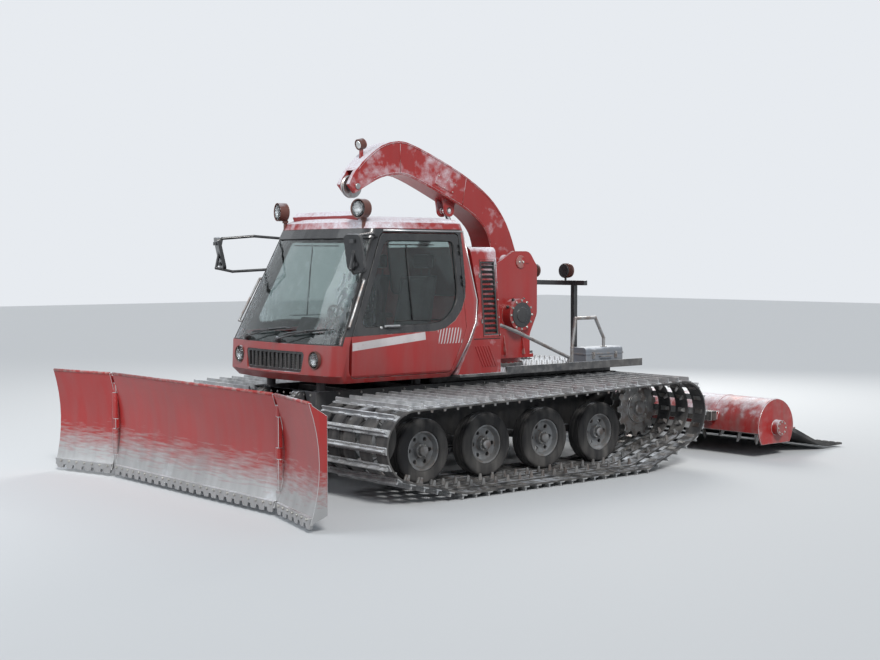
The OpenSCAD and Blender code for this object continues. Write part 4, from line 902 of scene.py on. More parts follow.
wiper_steel = coat("wiper_black", (0.02, 0.02, 0.022), 0.4, frost=0.35, film=0.3)
wiper_shape = bmesh.new()
for t in (-0.62, 0.12):
    pivot = screen_point(t, 1.60, 0.03)
    add_lathe(wiper_shape, [(0.030, -0.05), (0.030, 0.012), (0.018, 0.024), (0, 0.024)], pivot,
              (0.91, 0, 0.42), 20)
    arm = [screen_point(t + 0.50 * i / 6, 1.60 + 0.10 * i / 6, 0.045) for i in range(7)]
    add_tube(wiper_shape, arm, 0.008, 8)
    blade_line = [screen_point(t + 0.06 + 0.86 * i / 10, 1.655 + 0.075 * i / 10, 0.012) for i in range(11)]
    add_tube(wiper_shape, blade_line, 0.007, 6)
    add_tube(wiper_shape, [point + Vector((0.016, 0, 0.007)) for point in blade_line[1:-1]], 0.006, 6)
    add_box(wiper_shape, arm[-1] - Vector((0.035, 0.02, 0.02)), arm[-1] + Vector((0.008, 0.02, 0.008)))
place_shape("wipers", wiper_shape, wiper_steel, 0.001)

# Cab trim: drawn aluminium profiles, a seal along each rear corner of the cab and a drip rail over each
# door. They are pressed on to the edges of the panels.

aluminium = coat("aluminium_trim", (0.55, 0.56, 0.57), 0.35, frost=0.35, film=0.4, metallic=1.0)
trim_shape = bmesh.new()
drip_rail_z = 2.772
for side in (-1, 1):
    rear_line = [(cab_at(z, rear_column) + 0.012, side * (cab_at(z, half_column) - 0.062), z)
                 for z in (1.26, 1.56, 1.76, 2.0, 2.4, 2.78)]
    add_tube(trim_shape, rear_line, 0.009, 8)
    rail_y = side * (cab_at(drip_rail_z, half_column) + 0.004)
    add_tube(trim_shape, [(x, rail_y, drip_rail_z) for x in (1.14, 1.7, 2.26)], 0.009, 8)
place_shape("cab_trim", trim_shape, aluminium)

# Door locks: a plate of plain aluminium at the lower edge of each window, with a round key cylinder ahead
# of it. Both are let into the door and move with it.

lock_z = 1.735
lock_surface = cab_at(lock_z, half_column)
for side, label in ((1, "left"), (-1, "right")):
    shape = bmesh.new()
    plate_y = side * (lock_surface - 0.004)
    add_box(shape, (2.14, plate_y - 0.004, lock_z - 0.025), (2.35, plate_y + 0.004, lock_z + 0.025))
    add_lathe(shape, [(0.016, -0.01), (0.016, 0.008), (0.010, 0.012), (0, 0.012)],
              (2.40, side * lock_surface, lock_z), (0, side, 0), 20)
    place_shape("door_lock_" + label, shape, aluminium, 0.0015, body="door_" + label)

# Dashboard: a binnacle moulded in grained black plastic on the cab's front wall. It carries two displays
# in frames on short stems, a row of rocker switches and four round air vents.

cabin_plastic = coat("cabin_plastic", (0.035, 0.036, 0.04), 0.6, frost=0.0, film=0.1, grain_size=900,
                     grain_depth=0.25)
soft_black = coat("soft_black", (0.018, 0.018, 0.02), 0.7, frost=0.0, film=0.05, grain_size=700,
                  grain_depth=0.3)
finish("dashboard", cabin_plastic, soft_black, 0.008)
finish("seat_frames", cabin_plastic, soft_black, 0.006)
finish("steering_wheel", soft_black, soft_black)
display_glass, display_shader = new_material("display_glass")
glow = noise(places(display_glass.node_tree), 30.0, 2.0)
feed(display_shader,
     [("Base Color", blend_colours(glow, (0.01, 0.03, 0.05, 1), (0.03, 0.08, 0.12, 1))),
      ("Emission Color", blend_colours(glow, (0.02, 0.06, 0.1, 1), (0.05, 0.16, 0.22, 1))),
      ("Emission Strength", 0.4), ("Roughness", 0.12)])
display_shape = bmesh.new()
frame_shape = bmesh.new()
for y, wide in ((0.10, 0.15), (0.74, 0.09)):
    turn = Matrix.Rotation(math.radians(-28), 4, "Y")
    centre = Vector((2.70, y, 1.73))
    for shape, grow_by, near, far in ((frame_shape, 0.014, -0.014, 0.016),
                                      (display_shape, 0.0, -0.0165, -0.010)):
        half_w, half_h = wide + grow_by, 0.085 + grow_by
        corners = [(near, -half_w, -half_h), (near, half_w, -half_h), (near, half_w, half_h),
                   (near, -half_w, half_h)]
        add_prism(shape, [centre + turn @ Vector(point) for point in corners],
                  turn @ Vector((far - near, 0, 0)))
    add_tube(frame_shape, [centre + Vector((0.01, 0, -0.06)), centre + Vector((0.06, 0, -0.13))], 0.014, 10)
for y in (-0.62, -0.34, 0.28, 0.60):
    add_lathe(frame_shape, [(0.045, -0.01), (0.045, 0.012), (0.036, 0.014), (0.034, 0.004), (0, 0.004)],
              (2.72, y, 1.645), (-0.1, 0, 1), 24)
for i in range(9):
    y = -0.22 + i * 0.05
    add_box(frame_shape, (2.652, y - 0.018, 1.640), (2.692, y + 0.018, 1.662))
place_shape("display_panes", display_shape, display_glass)
place_shape("dash_controls", frame_shape, soft_black, 0.002)

# Driver's place: soft black plastic and rubber. An armrest on a post carries the joystick beside the
# left-hand seat, two pedals stand ahead of it, and a ribbed mat lies loose on the floor.

lever_shape = bmesh.new()
stick_y, rest_half = 0.18, 0.045
rest_side = [(1.62, 1.80), (2.06, 1.80), (2.10, 1.83), (2.06, 1.865), (1.62, 1.855)]
add_prism(lever_shape, [(x, stick_y - rest_half, z) for x, z in rest_side], (0, 2 * rest_half, 0))
add_tube(lever_shape, [(1.70, stick_y, 1.60), (1.70, stick_y, 1.80)], 0.02, 12)
add_lathe(lever_shape,
          [(0.034, 0.0), (0.030, 0.014), (0.012, 0.030), (0.012, 0.07), (0.024, 0.09), (0.028, 0.13),
           (0.022, 0.165), (0, 0.172)], (2.02, stick_y, 1.862), (0.15, 0, 1), 20)
for y in (0.34, 0.54):
    add_prism(lever_shape,
              [(2.68, y - 0.04, 1.26), (2.68, y + 0.04, 1.26), (2.62, y + 0.045, 1.38),
               (2.62, y - 0.045, 1.38)],
              (0.012, 0, 0.006))
    add_tube(lever_shape, [(2.66, y, 1.30), (2.76, y, 1.36)], 0.012, 8)
place_shape("driver_controls", lever_shape, soft_black, 0.003)
mat_shape = bmesh.new()
add_box(mat_shape, (1.42, -0.86, 1.2095), (2.74, 0.86, 1.2155))
for i in range(44):
    x = 1.45 + 0.029 * i
    add_box(mat_shape, (x, -0.84, 1.215), (x + 0.012, 0.84, 1.219))
place_shape("floor_mat", mat_shape, rubber)

# Lamps: two round headlamps in the nose and two large ones on posts at the roof's front corners. Each is a
# housing with a bright bowl, a bulb on a stem and a ribbed glass held by a bezel.

lamp_brown = coat("lamp_brown", (0.10, 0.028, 0.018), 0.4, frost=0.4, film=0.4)
bright_bowl = coat("bright_bowl", (0.85, 0.85, 0.84), 0.12, frost=0.0, film=0.1, metallic=1.0,
                   grain_depth=0.0)
bulb_white = coat("bulb_white", (0.85, 0.85, 0.8), 0.3, frost=0.0, film=0.0)


def clear_glass(name, tint, rough=0.04):
    """Plain clear or tinted glass with a fine waviness."""
    material, shader = new_material(name)
    waves = noise(places(material.node_tree), 9.0, 2.0)
    feed(shader, [("Normal", bump(waves, 0.0008, 0.4)), ("Base Color", tint), ("Roughness", rough),
                  ("Transmission Weight", 1.0), ("IOR", glass_ior)])
    return material


lens_glass = clear_glass("lens_glass", (0.94, 0.96, 0.97, 1.0))
head_radius, roof_lamp_radius = 0.0947, 0.105
head_lamp_at = (3.070, 0.72, 1.40)
roof_lamp_at, roof_lamp_turn = (2.400, 0.745, 3.002), math.radians(12)
housing_shape, bowl_shape, bulb_shape, lens_shape = bmesh.new(), bmesh.new(), bmesh.new(), bmesh.new()


def add_lamp(centre, axis, radius, depth):
    """One lamp whose front rim lies at the centre: housing, bowl, bulb, glass and the glass's ribs."""
    add_lathe(housing_shape,
              [(radius * 0.96, -0.004), (radius, 0.0), (radius, -depth + 0.012), (radius - 0.012, -depth),
               (0.02, -depth), (0.02, -depth + 0.003), (radius - 0.016, -depth + 0.008),
               (radius - 0.008, -0.02), (radius * 0.90, -0.004)], centre, axis, 40, closed=True)
    inner = radius * 0.90
    bowl = [(inner * i / 8, -0.018 - (depth * 0.62) * (1 - (i / 8) ** 2)) for i in range(1, 9)]
    add_lathe(bowl_shape, [(radius / 9, bowl[0][1] - 0.004)] + bowl + [(inner, -0.024)], centre, axis, 40,
              closed=True)
    add_lathe(bulb_shape, [(0.010, bowl[0][1]), (0.010, bowl[0][1] + 0.02), (0.014, bowl[0][1] + 0.03),
                           (0.009, bowl[0][1] + 0.044), (0, bowl[0][1] + 0.048)], centre, axis, 16)
    add_lathe(lens_shape,
              [(inner, -0.012), (inner, -0.008), (inner * 0.7, -0.002), (inner * 0.35, 0.001), (0, 0.002)],
              centre, axis, 40)
    turn = Vector(axis).to_track_quat("Z", "Y")
    for i in range(-7, 8):
        side = inner * i / 8.5
        reach = math.sqrt(max(inner ** 2 - side ** 2, 0)) * 0.93
        points = [Vector(centre)
                  + turn @ Vector((side, reach * k / 4,
                                   0.0005 - 0.0085 * (side ** 2 + (reach * k / 4) ** 2) / inner ** 2))
                  for k in range(-4, 5)]
        add_tube(lens_shape, points, 0.0022, 5)


roof_axis = Vector((math.cos(roof_lamp_turn), math.sin(roof_lamp_turn), 0))
for side in (-1, 1):
    add_lamp((head_lamp_at[0], side * head_lamp_at[1], head_lamp_at[2]), (1, 0, 0), head_radius, 0.11)
    # The right-hand lamp is the left-hand one in a mirror
    axis = Vector((roof_axis.x, side * roof_axis.y, 0))
    back = Vector((roof_lamp_at[0], side * roof_lamp_at[1], roof_lamp_at[2]))
    add_lamp(back + axis * 0.12, axis, roof_lamp_radius, 0.12)
    foot = Vector((roof_lamp_at[0] + 0.02, side * roof_lamp_at[1], cab_rows[-1][0] - 0.01))
    add_tube(housing_shape, [foot, foot + Vector((0, 0, 0.11))], 0.022, 16)
    add_lathe(housing_shape, [(0.034, 0.085), (0.034, 0.115), (0.022, 0.12), (0, 0.12)], foot, (0, 0, 1),
              20)
housings = place_shape("lamp_housings", housing_shape, lamp_brown, 0.0012)
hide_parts("lamps")
place_shape("lamp_bowls", bowl_shape, bright_bowl)
place_shape("lamp_bulbs", bulb_shape, bulb_white)
place_shape("lamp_glasses", lens_shape, lens_glass)

# Beacon: a ribbed dome of blue glass over three bright reflectors. It is screwed down on the roof with a
# foot of black rubber.

beacon_at = (2.190, 0.350, 2.928)
beacon_shape, foot_shape = bmesh.new(), bmesh.new()
add_lathe(foot_shape,
          [(0.060, 0.0), (0.060, 0.018), (0.056, 0.024), (0.056, 0.046), (0.050, 0.050), (0, 0.050)],
          beacon_at, steps=36)
add_lathe(foot_shape, [(0.012, 0.05), (0.012, 0.08), (0, 0.08)], beacon_at, steps=16)
dome = [(0.0480, 0.048), (0.0480, 0.132), (0.0455, 0.141), (0.036, 0.149), (0.018, 0.1515)]
add_lathe(beacon_shape,
          dome + [(0.016, 0.148), (0.034, 0.1455), (0.0425, 0.138), (0.0445, 0.130), (0.0445, 0.048)],
          beacon_at, steps=48, closed=True)
add_lathe(beacon_shape, [(0.018, 0.1505), (0, 0.152)], beacon_at, steps=48)
for i in range(24):
    angle = math.tau * i / 24
    spot = Vector((0.0465 * math.cos(angle), 0.0465 * math.sin(angle), 0))
    add_tube(beacon_shape, [Vector(beacon_at) + spot + Vector((0, 0, z)) for z in (0.056, 0.128)], 0.0022,
             6)
beacon_blue = clear_glass("beacon_blue", (0.03, 0.16, 0.85, 1.0), 0.08)
beacon_dome = place_shape("beacon_dome", beacon_shape, beacon_blue)
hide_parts("beacon")
place_shape("beacon_foot", foot_shape, gasket_rubber, 0.0015)
mirror_shape = bmesh.new()
for i in range(3):
    angle = math.tau * i / 3
    centre = Vector(beacon_at) + Vector((0.010 * math.cos(angle), 0.010 * math.sin(angle),
                                         0.082 + 0.012 * i))
    add_box(mirror_shape, centre - Vector((0.014, 0.014, 0.004)), centre + Vector((0.014, 0.014, 0.004)))
place_shape("beacon_reflector", mirror_shape, bright_bowl, 0.001)

# Mirrors: black plates on bent steel tubes from the cab's upper front corners. Each plate holds two panes
# of silvered glass that face the driver, and two clamps hold it to its tube.

finish("mirrors", cab_black, worn_black)
silvered = coat("silvered_glass", (0.86, 0.88, 0.9), 0.03, frost=0.05, film=0.0, metallic=1.0,
                grain_depth=0.0)
mirror_at, mirror_lean, mirror_turn = Vector((2.955, 1.300, 2.530)), math.radians(12), math.radians(20)
glass_shape, clamp_shape = bmesh.new(), bmesh.new()
for side in (-1, 1):
    turn = Matrix.Rotation(side * mirror_turn, 3, "Z") @ Matrix.Rotation(mirror_lean, 3, "Y")
    centre = Vector((mirror_at.x, side * mirror_at.y, mirror_at.z))
    for low, high in ((-0.166, 0.04), (0.055, 0.166)):
        outline = rounded_outline([(-0.086, low, 0.02), (0.086, low, 0.02), (0.086, high, 0.02),
                                   (-0.086, high, 0.02)], 4)
        add_prism(glass_shape, [centre + turn @ Vector((-0.0225, point.x, point.y)) for point in outline],
                  turn @ Vector((0.004, 0, 0)))
    for z in (-0.12, 0.12):
        spot = turn @ Vector((0.026, 0.0, z))
        add_box(clamp_shape, centre + spot - Vector((0.014, 0.035, 0.02)),
                centre + spot + Vector((0.014, 0.035, 0.02)))
place_shape("mirror_glasses", glass_shape, silvered, 0.001)
place_shape("mirror_clamps", clamp_shape, cab_black, 0.003)

# Nose grille: black steel bars set in the red nose between the headlamps. A fine mesh of galvanized wire is
# clipped in behind them.

finish("front_grille", cab_black, worn_black)
mesh_shape = bmesh.new()
mesh_pitch, half_wire = 0.018, 0.0015
mesh_half, mesh_low, mesh_high = 0.49, 1.288, 1.452
for i in range(55):
    y = -0.486 + mesh_pitch * i
    add_box(mesh_shape, (3.0478, y - half_wire, mesh_low), (3.0505, y + half_wire, mesh_high))
for i in range(10):
    z = 1.290 + mesh_pitch * i
    add_box(mesh_shape, (3.0485, -mesh_half, z - half_wire), (3.0512, mesh_half, z + half_wire))
place_shape("grille_mesh", mesh_shape, zinc, smooth=False)

# Cooling box: a second red housing of pressed sheet, behind the cab. Its sides have louvred doors with
# bolts and latches, and a finned aluminium radiator in a black frame fills its rear.

cooler_rear, cooler_top, cooler_waist = 0.610, 2.600, 1.560
cooler_low, cooler_high = 0.950, 0.855
cooler_lean = math.atan2(cooler_low - cooler_high, cooler_top - cooler_waist)
finish("cooling_box", frosted_red, worn_frosted)
finish("cooler_grilles", cab_black, worn_black, 0.0015)


def cooler_side(x, up, out, side):
    """A point on the leaning side of the cooling box: along X, up from the waist and out of the face."""
    return Vector((x, side * (cooler_low - up * math.sin(cooler_lean) + out * math.cos(cooler_lean)),
                   cooler_waist + up * math.cos(cooler_lean) + out * math.sin(cooler_lean)))


rib_shape, seam_shape, latch_shape = bmesh.new(), bmesh.new(), bmesh.new()
cooler_bolts = []
for side in (-1, 1):
    # Slanted stiffening ribs, pressed in the panel under the louvres
    for i in range(6):
        x0, z0 = 0.665 + 0.040 * i, 1.24
        outline = [(x0, z0), (x0 + 0.022, z0), (x0 + 0.142, z0 + 0.24), (x0 + 0.120, z0 + 0.24)]
        add_prism(rib_shape, [(x, side * (cooler_low - 0.002), z) for x, z in outline],
                  (0, side * 0.009, 0))
    # Joint between the lower and the upper panel, and the door's joint round the louvres
    add_tube(seam_shape, [(x, side * (cooler_low + 0.001), cooler_waist) for x in (0.62, 0.8, 1.02)],
             0.005, 6)
    frame_line = [cooler_side(x, up, 0.001, side)
                  for x, up in ((0.630, 0.02), (0.872, 0.02), (0.872, 0.90), (0.630, 0.90))]
    add_tube(seam_shape, frame_line, 0.004, 6, closed=True)
    for up in (0.20, 0.72):
        spot = cooler_side(0.886, up, 0.0, side)
        add_box(latch_shape, spot - Vector((0.010, 0.010, 0.024)), spot + Vector((0.010, 0.010, 0.024)))
    for up in (0.04, 0.24, 0.44, 0.64, 0.84):
        cooler_bolts.append((cooler_side(0.620, up, 0.0, side),
                             (0, side * math.cos(cooler_lean), math.sin(cooler_lean)), (1, 0, 0)))
for x in (0.68, 0.80, 0.92):
    add_tube(seam_shape, [(x, y, cooler_top + 0.001) for y in (-0.74, 0.0, 0.74)], 0.004, 6)
place_shape("cooler_ribs", rib_shape, red_paint, 0.003)
place_shape("cooler_seams", seam_shape, gasket_rubber)
place_shape("cooler_latches", latch_shape, bare_steel, 0.003)
bolts("cooler_bolts", "chassis", 0.008, cooler_bolts)
fin_tree, fin_in, fin_out = new_tree("radiator_fins", [
    ("Fins", "Int"), ("Pitch", "Float"), ("Size", "Vector"), ("Material", "Material")])
fin = put(fin_tree, "GeometryNodeMeshCube", [("Size", fin_in["Size"])])
fin_step = put(fin_tree, "ShaderNodeCombineXYZ", [(1, fin_in["Pitch"])])
fin_line = put(fin_tree, "GeometryNodeMeshLine", [
    ("Count", fin_in["Fins"]), ("Offset", fin_step.outputs[0])])
moved = put(fin_tree, "GeometryNodeTransform", [
    (0, copies(fin_tree, fin_line.outputs[0], fin.outputs[0])),
    ("Translation", (cooler_rear - 0.006, -0.696, 2.0))])
hand_out(fin_tree, moved.outputs[0], fin_in["Material"], fin_out)
fins = grow_new("radiator_fins", fin_tree, {
    "Fins": 117, "Pitch": 0.012, "Size": (0.014, 0.003, 0.86), "Material": aluminium})
settle(fins, "chassis", smooth=False)
surround_shape = bmesh.new()
for low, high in (((-0.74, 1.53), (0.74, 1.575)), ((-0.74, 2.425), (0.74, 2.47)),
                  ((-0.74, 1.57), (-0.70, 2.43)), ((0.70, 1.57), (0.74, 2.43)),
                  ((-0.02, 1.57), (0.02, 2.43)), ((-0.70, 1.98), (0.70, 2.00))):
    add_box(surround_shape, (cooler_rear - 0.020, low[0], low[1]), (cooler_rear + 0.002, high[0], high[1]))
place_shape("radiator_frame", surround_shape, cab_black, 0.003)
bolts("radiator_bolts", "chassis", 0.008, [
    ((cooler_rear - 0.019, y, z), (-1, 0, 0), (0, 1, 0)) for z in (1.552, 2.447)
    for y in (-0.7, -0.35, 0.0, 0.35, 0.7)])

# Exhaust: a steel silencer and pipe behind the cooling box, blued and browned by heat. Five band clamps
# hold it, and a guard of galvanized wire keeps hands off its rear.

exhaust_material, heat_shader = new_material("heated_steel")
where = places(exhaust_material.node_tree)
mottle = noise(where, 7.0, 6.0)
heat = maths("ADD", ramp(split(where)[2], 1.2, 2.7), times(mottle, 0.5))
warmed = blend_colours(ramp(heat, 0.35, 0.8), (0.20, 0.17, 0.15, 1), (0.16, 0.09, 0.05, 1))
warmed = blend_colours(ramp(heat, 0.8, 1.3), warmed, (0.05, 0.048, 0.055, 1))
feed(heat_shader, [("Base Color", warmed), ("Roughness", ramp(mottle, 0.3, 0.7, 0.35, 0.7)),
                   ("Normal", bump(mottle, 0.0015, 0.5)), ("Metallic", 0.85)])
finish("exhaust", exhaust_material)
pipe_x, pipe_y = 0.400, -0.730
clamp_ring_shape = bmesh.new()
for z, radius in ((1.30, 0.062), (1.53, 0.10), (2.17, 0.10), (2.30, 0.062), (2.52, 0.062)):
    add_lathe(clamp_ring_shape,
              [(radius - 0.002, -0.014), (radius + 0.005, -0.014), (radius + 0.005, 0.014),
               (radius - 0.002, 0.014)],
              (pipe_x, pipe_y, z), steps=36, closed=True)
    add_box(clamp_ring_shape, (pipe_x - radius - 0.028, pipe_y - 0.010, z - 0.012),
            (pipe_x - radius + 0.002, pipe_y + 0.010, z + 0.012))
place_shape("exhaust_clamps", clamp_ring_shape, zinc, 0.001)
guard_shape = bmesh.new()
guard_steps, guard_rows, guard_radius, guard_wire = 26, 22, 0.113, 0.0022
guard_low, guard_high = 1.60, 2.10


def guard_point(degrees, z):
    """A point of the guard at an angle from straight ahead. It goes round the silencer's rear."""
    angle = math.radians(degrees)
    return (pipe_x + guard_radius * math.cos(angle), pipe_y + guard_radius * math.sin(angle), z)


for i in range(guard_steps + 1):
    degrees = 70 + 220 * i / guard_steps
    add_tube(guard_shape, [guard_point(degrees, z) for z in (guard_low, guard_high)], guard_wire, 5)
for k in range(guard_rows + 1):
    z = guard_low + (guard_high - guard_low) * k / guard_rows
    add_tube(guard_shape, [guard_point(70 + 22 * i, z) for i in range(11)], guard_wire, 5)
place_shape("exhaust_guard", guard_shape, zinc, smooth=False)

# Deck boxes: two lockers folded from sheet steel in grey paint, one along each side of the deck. Each has
# an overlapping lid on hinges, two toggle latches and a handle of bent rod.

box_paint = coat("box_paint", (0.17, 0.19, 0.22), 0.42, frost=0.5, film=0.6, wear=0.2)
worn_box = coat("worn_box", (0.17, 0.19, 0.22), 0.45, frost=0.4, film=0.6, wear=0.6, bare=(0.25, 0.2, 0.17))
finish("side_boxes", box_paint, worn_box)
lid_shape, toggle_shape = bmesh.new(), bmesh.new()
for side in (-1, 1):
    for low, high in (((-1.436, 0.955), (-0.774, 0.967)), ((-1.437, 0.72), (-1.428, 0.955)),
                      ((-0.782, 0.72), (-0.773, 0.955))):
        add_box(lid_shape, (low[0], side * low[1], 1.305), (high[0], side * high[1], 1.325))
    for x in (-1.30, -0.91):
        add_box(toggle_shape, (x - 0.022, side * 0.958, 1.255), (x + 0.022, side * 0.972, 1.335))
        add_tube(toggle_shape,
                 [(x, side * 0.970, 1.33), (x, side * 0.982, 1.30), (x, side * 0.980, 1.262)], 0.006, 8)
        add_lathe(toggle_shape, [(0.010, -0.05), (0.010, 0.05), (0, 0.05)], (x, side * 0.695, 1.33),
                  (1, 0, 0), 14)
    add_tube(toggle_shape,
             [(-1.20, side * 0.958, 1.28), (-1.20, side * 0.995, 1.28), (-1.01, side * 0.995, 1.28),
              (-1.01, side * 0.958, 1.28)], 0.008, 10)
place_shape("box_lids", lid_shape, worn_box, 0.002)
place_shape("box_latches", toggle_shape, bare_steel, 0.0015)

# Lamp rack and handrails: square posts bolted to the deck with a cross bar and two round work lamps, and
# bent galvanized tubes on foot flanges.

rack_x, rack_post_y, rack_foot_z = -1.09, 0.45, 1.185
rack_lamp_front = (-1.150, 0.30, 2.320)
finish("rear_rack", cab_black, worn_black)
finish("grab_rails", bare_steel, bright_edge, 0.001)
rack_lens_shape, rack_rim_shape = bmesh.new(), bmesh.new()
rack_bolts = []
for side in (-1, 1):
    front = (rack_lamp_front[0], side * rack_lamp_front[1], rack_lamp_front[2])
    add_lathe(rack_rim_shape,
              [(0.088, -0.012), (0.088, 0.006), (0.076, 0.008), (0.074, 0.001), (0.074, -0.012)],
              front, (-1, 0, 0), 36, closed=True)
    add_lathe(rack_lens_shape, [(0.075, 0.0005), (0.052, 0.005), (0.026, 0.007), (0, 0.0075)], front,
              (-1, 0, 0), 36)
    for k in range(5):
        add_lathe(rack_rim_shape, [(0.084, 0.0), (0.092, 0.0), (0.092, 0.004), (0.084, 0.004)],
                  (front[0] + 0.025 + 0.014 * k, *front[1:]), (1, 0, 0), 36, closed=True)
    for dx in (-0.052, 0.052):
        for dy in (-0.052, 0.052):
            spot = (rack_x + dx, side * rack_post_y + dy, rack_foot_z)
            rack_bolts.append((spot, (0, 0, 1), (1, 0, 0)))
place_shape("rack_lamp_rims", rack_rim_shape, lamp_brown, 0.001)
place_shape("rack_lamp_glasses", rack_lens_shape, bright_bowl)
bolts("rack_bolts", "chassis", 0.009, rack_bolts)
flange_shape = bmesh.new()
for side in (-1, 1):
    for x, y, z in ((-0.56, 0.890, 1.170), (-0.60, 0.900, 1.170), (-1.15, 0.900, 1.390)):
        add_lathe(flange_shape, [(0.040, 0.0), (0.040, 0.007), (0.024, 0.012), (0.019, 0.012)],
                  (x, side * y, z), steps=28)
    add_lathe(flange_shape, [(0.040, 0.0), (0.040, 0.008), (0.019, 0.012)],
              (cooler_rear, side * 0.865, 1.70), (-1, 0, 0), 28)
place_shape("rail_flanges", flange_shape, bare_steel, 0.001)

# Seats: foam pads sewn in dark woven cloth, a pan, a back and a head pad on each of two moulded shells.
# The stuffing is blown up as cloth from a slightly smaller block, and piping is laid on the seams after it.

seat_cloth, cloth_shader = new_material("seat_cloth")
where = places(seat_cloth.node_tree)
threads = [put(seat_cloth.node_tree, "ShaderNodeTexWave",
               [("Vector", where), ("Scale", 160.0), ("Distortion", 0.6)], bands_direction=direction)
           for direction in ("X", "Z")]
weave = times(*[thread.outputs["Fac"] for thread in threads])
feed(cloth_shader,
     [("Base Color", blend_colours(weave, (0.018, 0.019, 0.022, 1), (0.060, 0.062, 0.070, 1))),
      ("Normal", bump(weave, 0.0008, 0.6)), ("Roughness", 0.85), ("Sheen Weight", 0.4)])
piping_black = coat("piping_black", (0.012, 0.012, 0.013), 0.5, frost=0.0, film=0.05)
seat_y, swell = 0.430, 0.012
voxel = 0.011


def stuffed(name, outline, half_width):
    """A cushion between two sides, blown up from its outline in X and Z by no more than the swell."""
    shape = bmesh.new()
    add_prism(shape, [(x, seat_y - half_width + swell, z) for x, z in outline],
              (0, 2 * (half_width - swell), 0))
    piece = from_shape(name, shape, seat_cloth)
    remesh = piece.modifiers.new("even_mesh", "REMESH")
    remesh.mode = "VOXEL"
    remesh.voxel_size = voxel
    graph = bpy.context.evaluated_depsgraph_get()
    piece.data = bpy.data.meshes.new_from_object(piece.evaluated_get(graph))
    piece.modifiers.remove(remesh)
    piece.data.materials.clear()
    piece.data.materials.append(seat_cloth)
    start = [vertex.co.copy() for vertex in piece.data.vertices]
    stuffing = piece.modifiers.new("stuffing", "CLOTH")
    stuffing.settings.use_pressure = True
    stuffing.settings.uniform_pressure_force = 4.0
    stuffing.settings.effector_weights.gravity = 0.0
    stuffing.point_cache.frame_start = 1
    stuffing.point_cache.frame_end = 20
    for step in range(1, 21):
        bpy.context.scene.frame_set(step)
    blown = piece.evaluated_get(bpy.context.evaluated_depsgraph_get()).data
    ends = [vertex.co.copy() for vertex in blown.vertices]
    piece.modifiers.remove(stuffing)
    bpy.context.scene.frame_set(1)
    for vertex, first, last in zip(piece.data.vertices, start, ends):
        moved = last - first
        vertex.co = first + moved * min(1.0, swell / max(moved.length, 1e-6))
    finer = piece.modifiers.new("finer", "SUBSURF")
    finer.levels = finer.render_levels = 1
    graph = bpy.context.evaluated_depsgraph_get()
    piece.data = bpy.data.meshes.new_from_object(piece.evaluated_get(graph))
    piece.modifiers.remove(finer)
    return piece


def on_surface(cushion, guess, lift):
    """The cushion's point nearest to a guess, lifted off its surface."""
    spot, normal = cushion.closest_point_on_mesh(guess)[1:3]
    return spot + normal * lift


# The block starts smaller than the CAD pad by the swell
pan_line = rounded_outline([(1.507, 1.523, 0.03), (1.988, 1.523, 0.05), (1.988, 1.628, 0.05),
                            (1.492, 1.608, 0.03)], 4)
back_line = rounded_outline([(1.482, 1.585, 0.02), (1.595, 1.672, 0.04), (1.462, 2.288, 0.04),
                             (1.342, 2.262, 0.02)], 4)
head_line = rounded_outline([(1.292, 2.362, 0.02), (1.388, 2.362, 0.04), (1.370, 2.518, 0.04),
                             (1.292, 2.518, 0.02)], 4)
for name, line, half_width in (("seat_pans", pan_line, 0.25), ("seat_backs", back_line, 0.25),
                               ("head_pads", head_line, 0.15)):
    cushion = stuffed(name, line, half_width)
    # Piping: a cord along both side seams, drawn in to the cushion's surface
    seam = bmesh.new()
    for side in (-1, 1):
        edge_y = seat_y + side * (half_width - 0.004)
        add_tube(seam, [on_surface(cushion, (point.x, edge_y, point.y), 0.001) for point in line], 0.004, 6,
                 closed=True)
    if name != "head_pads":
        # Two sewn channels across the cushion, on its upper or front face
        for share in (0.36, 0.68):
            across = []
            for k in range(13):
                y = seat_y + (half_width - 0.02) * (k / 6 - 1)
                if name == "seat_pans":
                    guess = Vector((1.52 + 0.46 * share, y, 1.66))
                else:
                    guess = Vector((1.60 - 0.12 * share, y, 1.70 + 0.58 * share))
                across.append(on_surface(cushion, guess, -0.001))
            add_tube(seam, across, 0.003, 6)
    piping = from_shape(name + "_piping", seam, piping_black)
    for piece in (cushion, piping):
        copy = piece.data.copy()
        copy.transform(Matrix.Translation((0, -2 * seat_y, 0)))
        both = bmesh.new()
        both.from_mesh(piece.data)
        both.from_mesh(copy)
        both.to_mesh(piece.data)
        both.free()
        settle(piece, "chassis")
    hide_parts("seat_pads")

# Winch: a turret of red steel plate that turns on a ball race bolted to the deck. Its two cheeks carry the
# drum, a hydraulic motor on each side and the boom's pin.

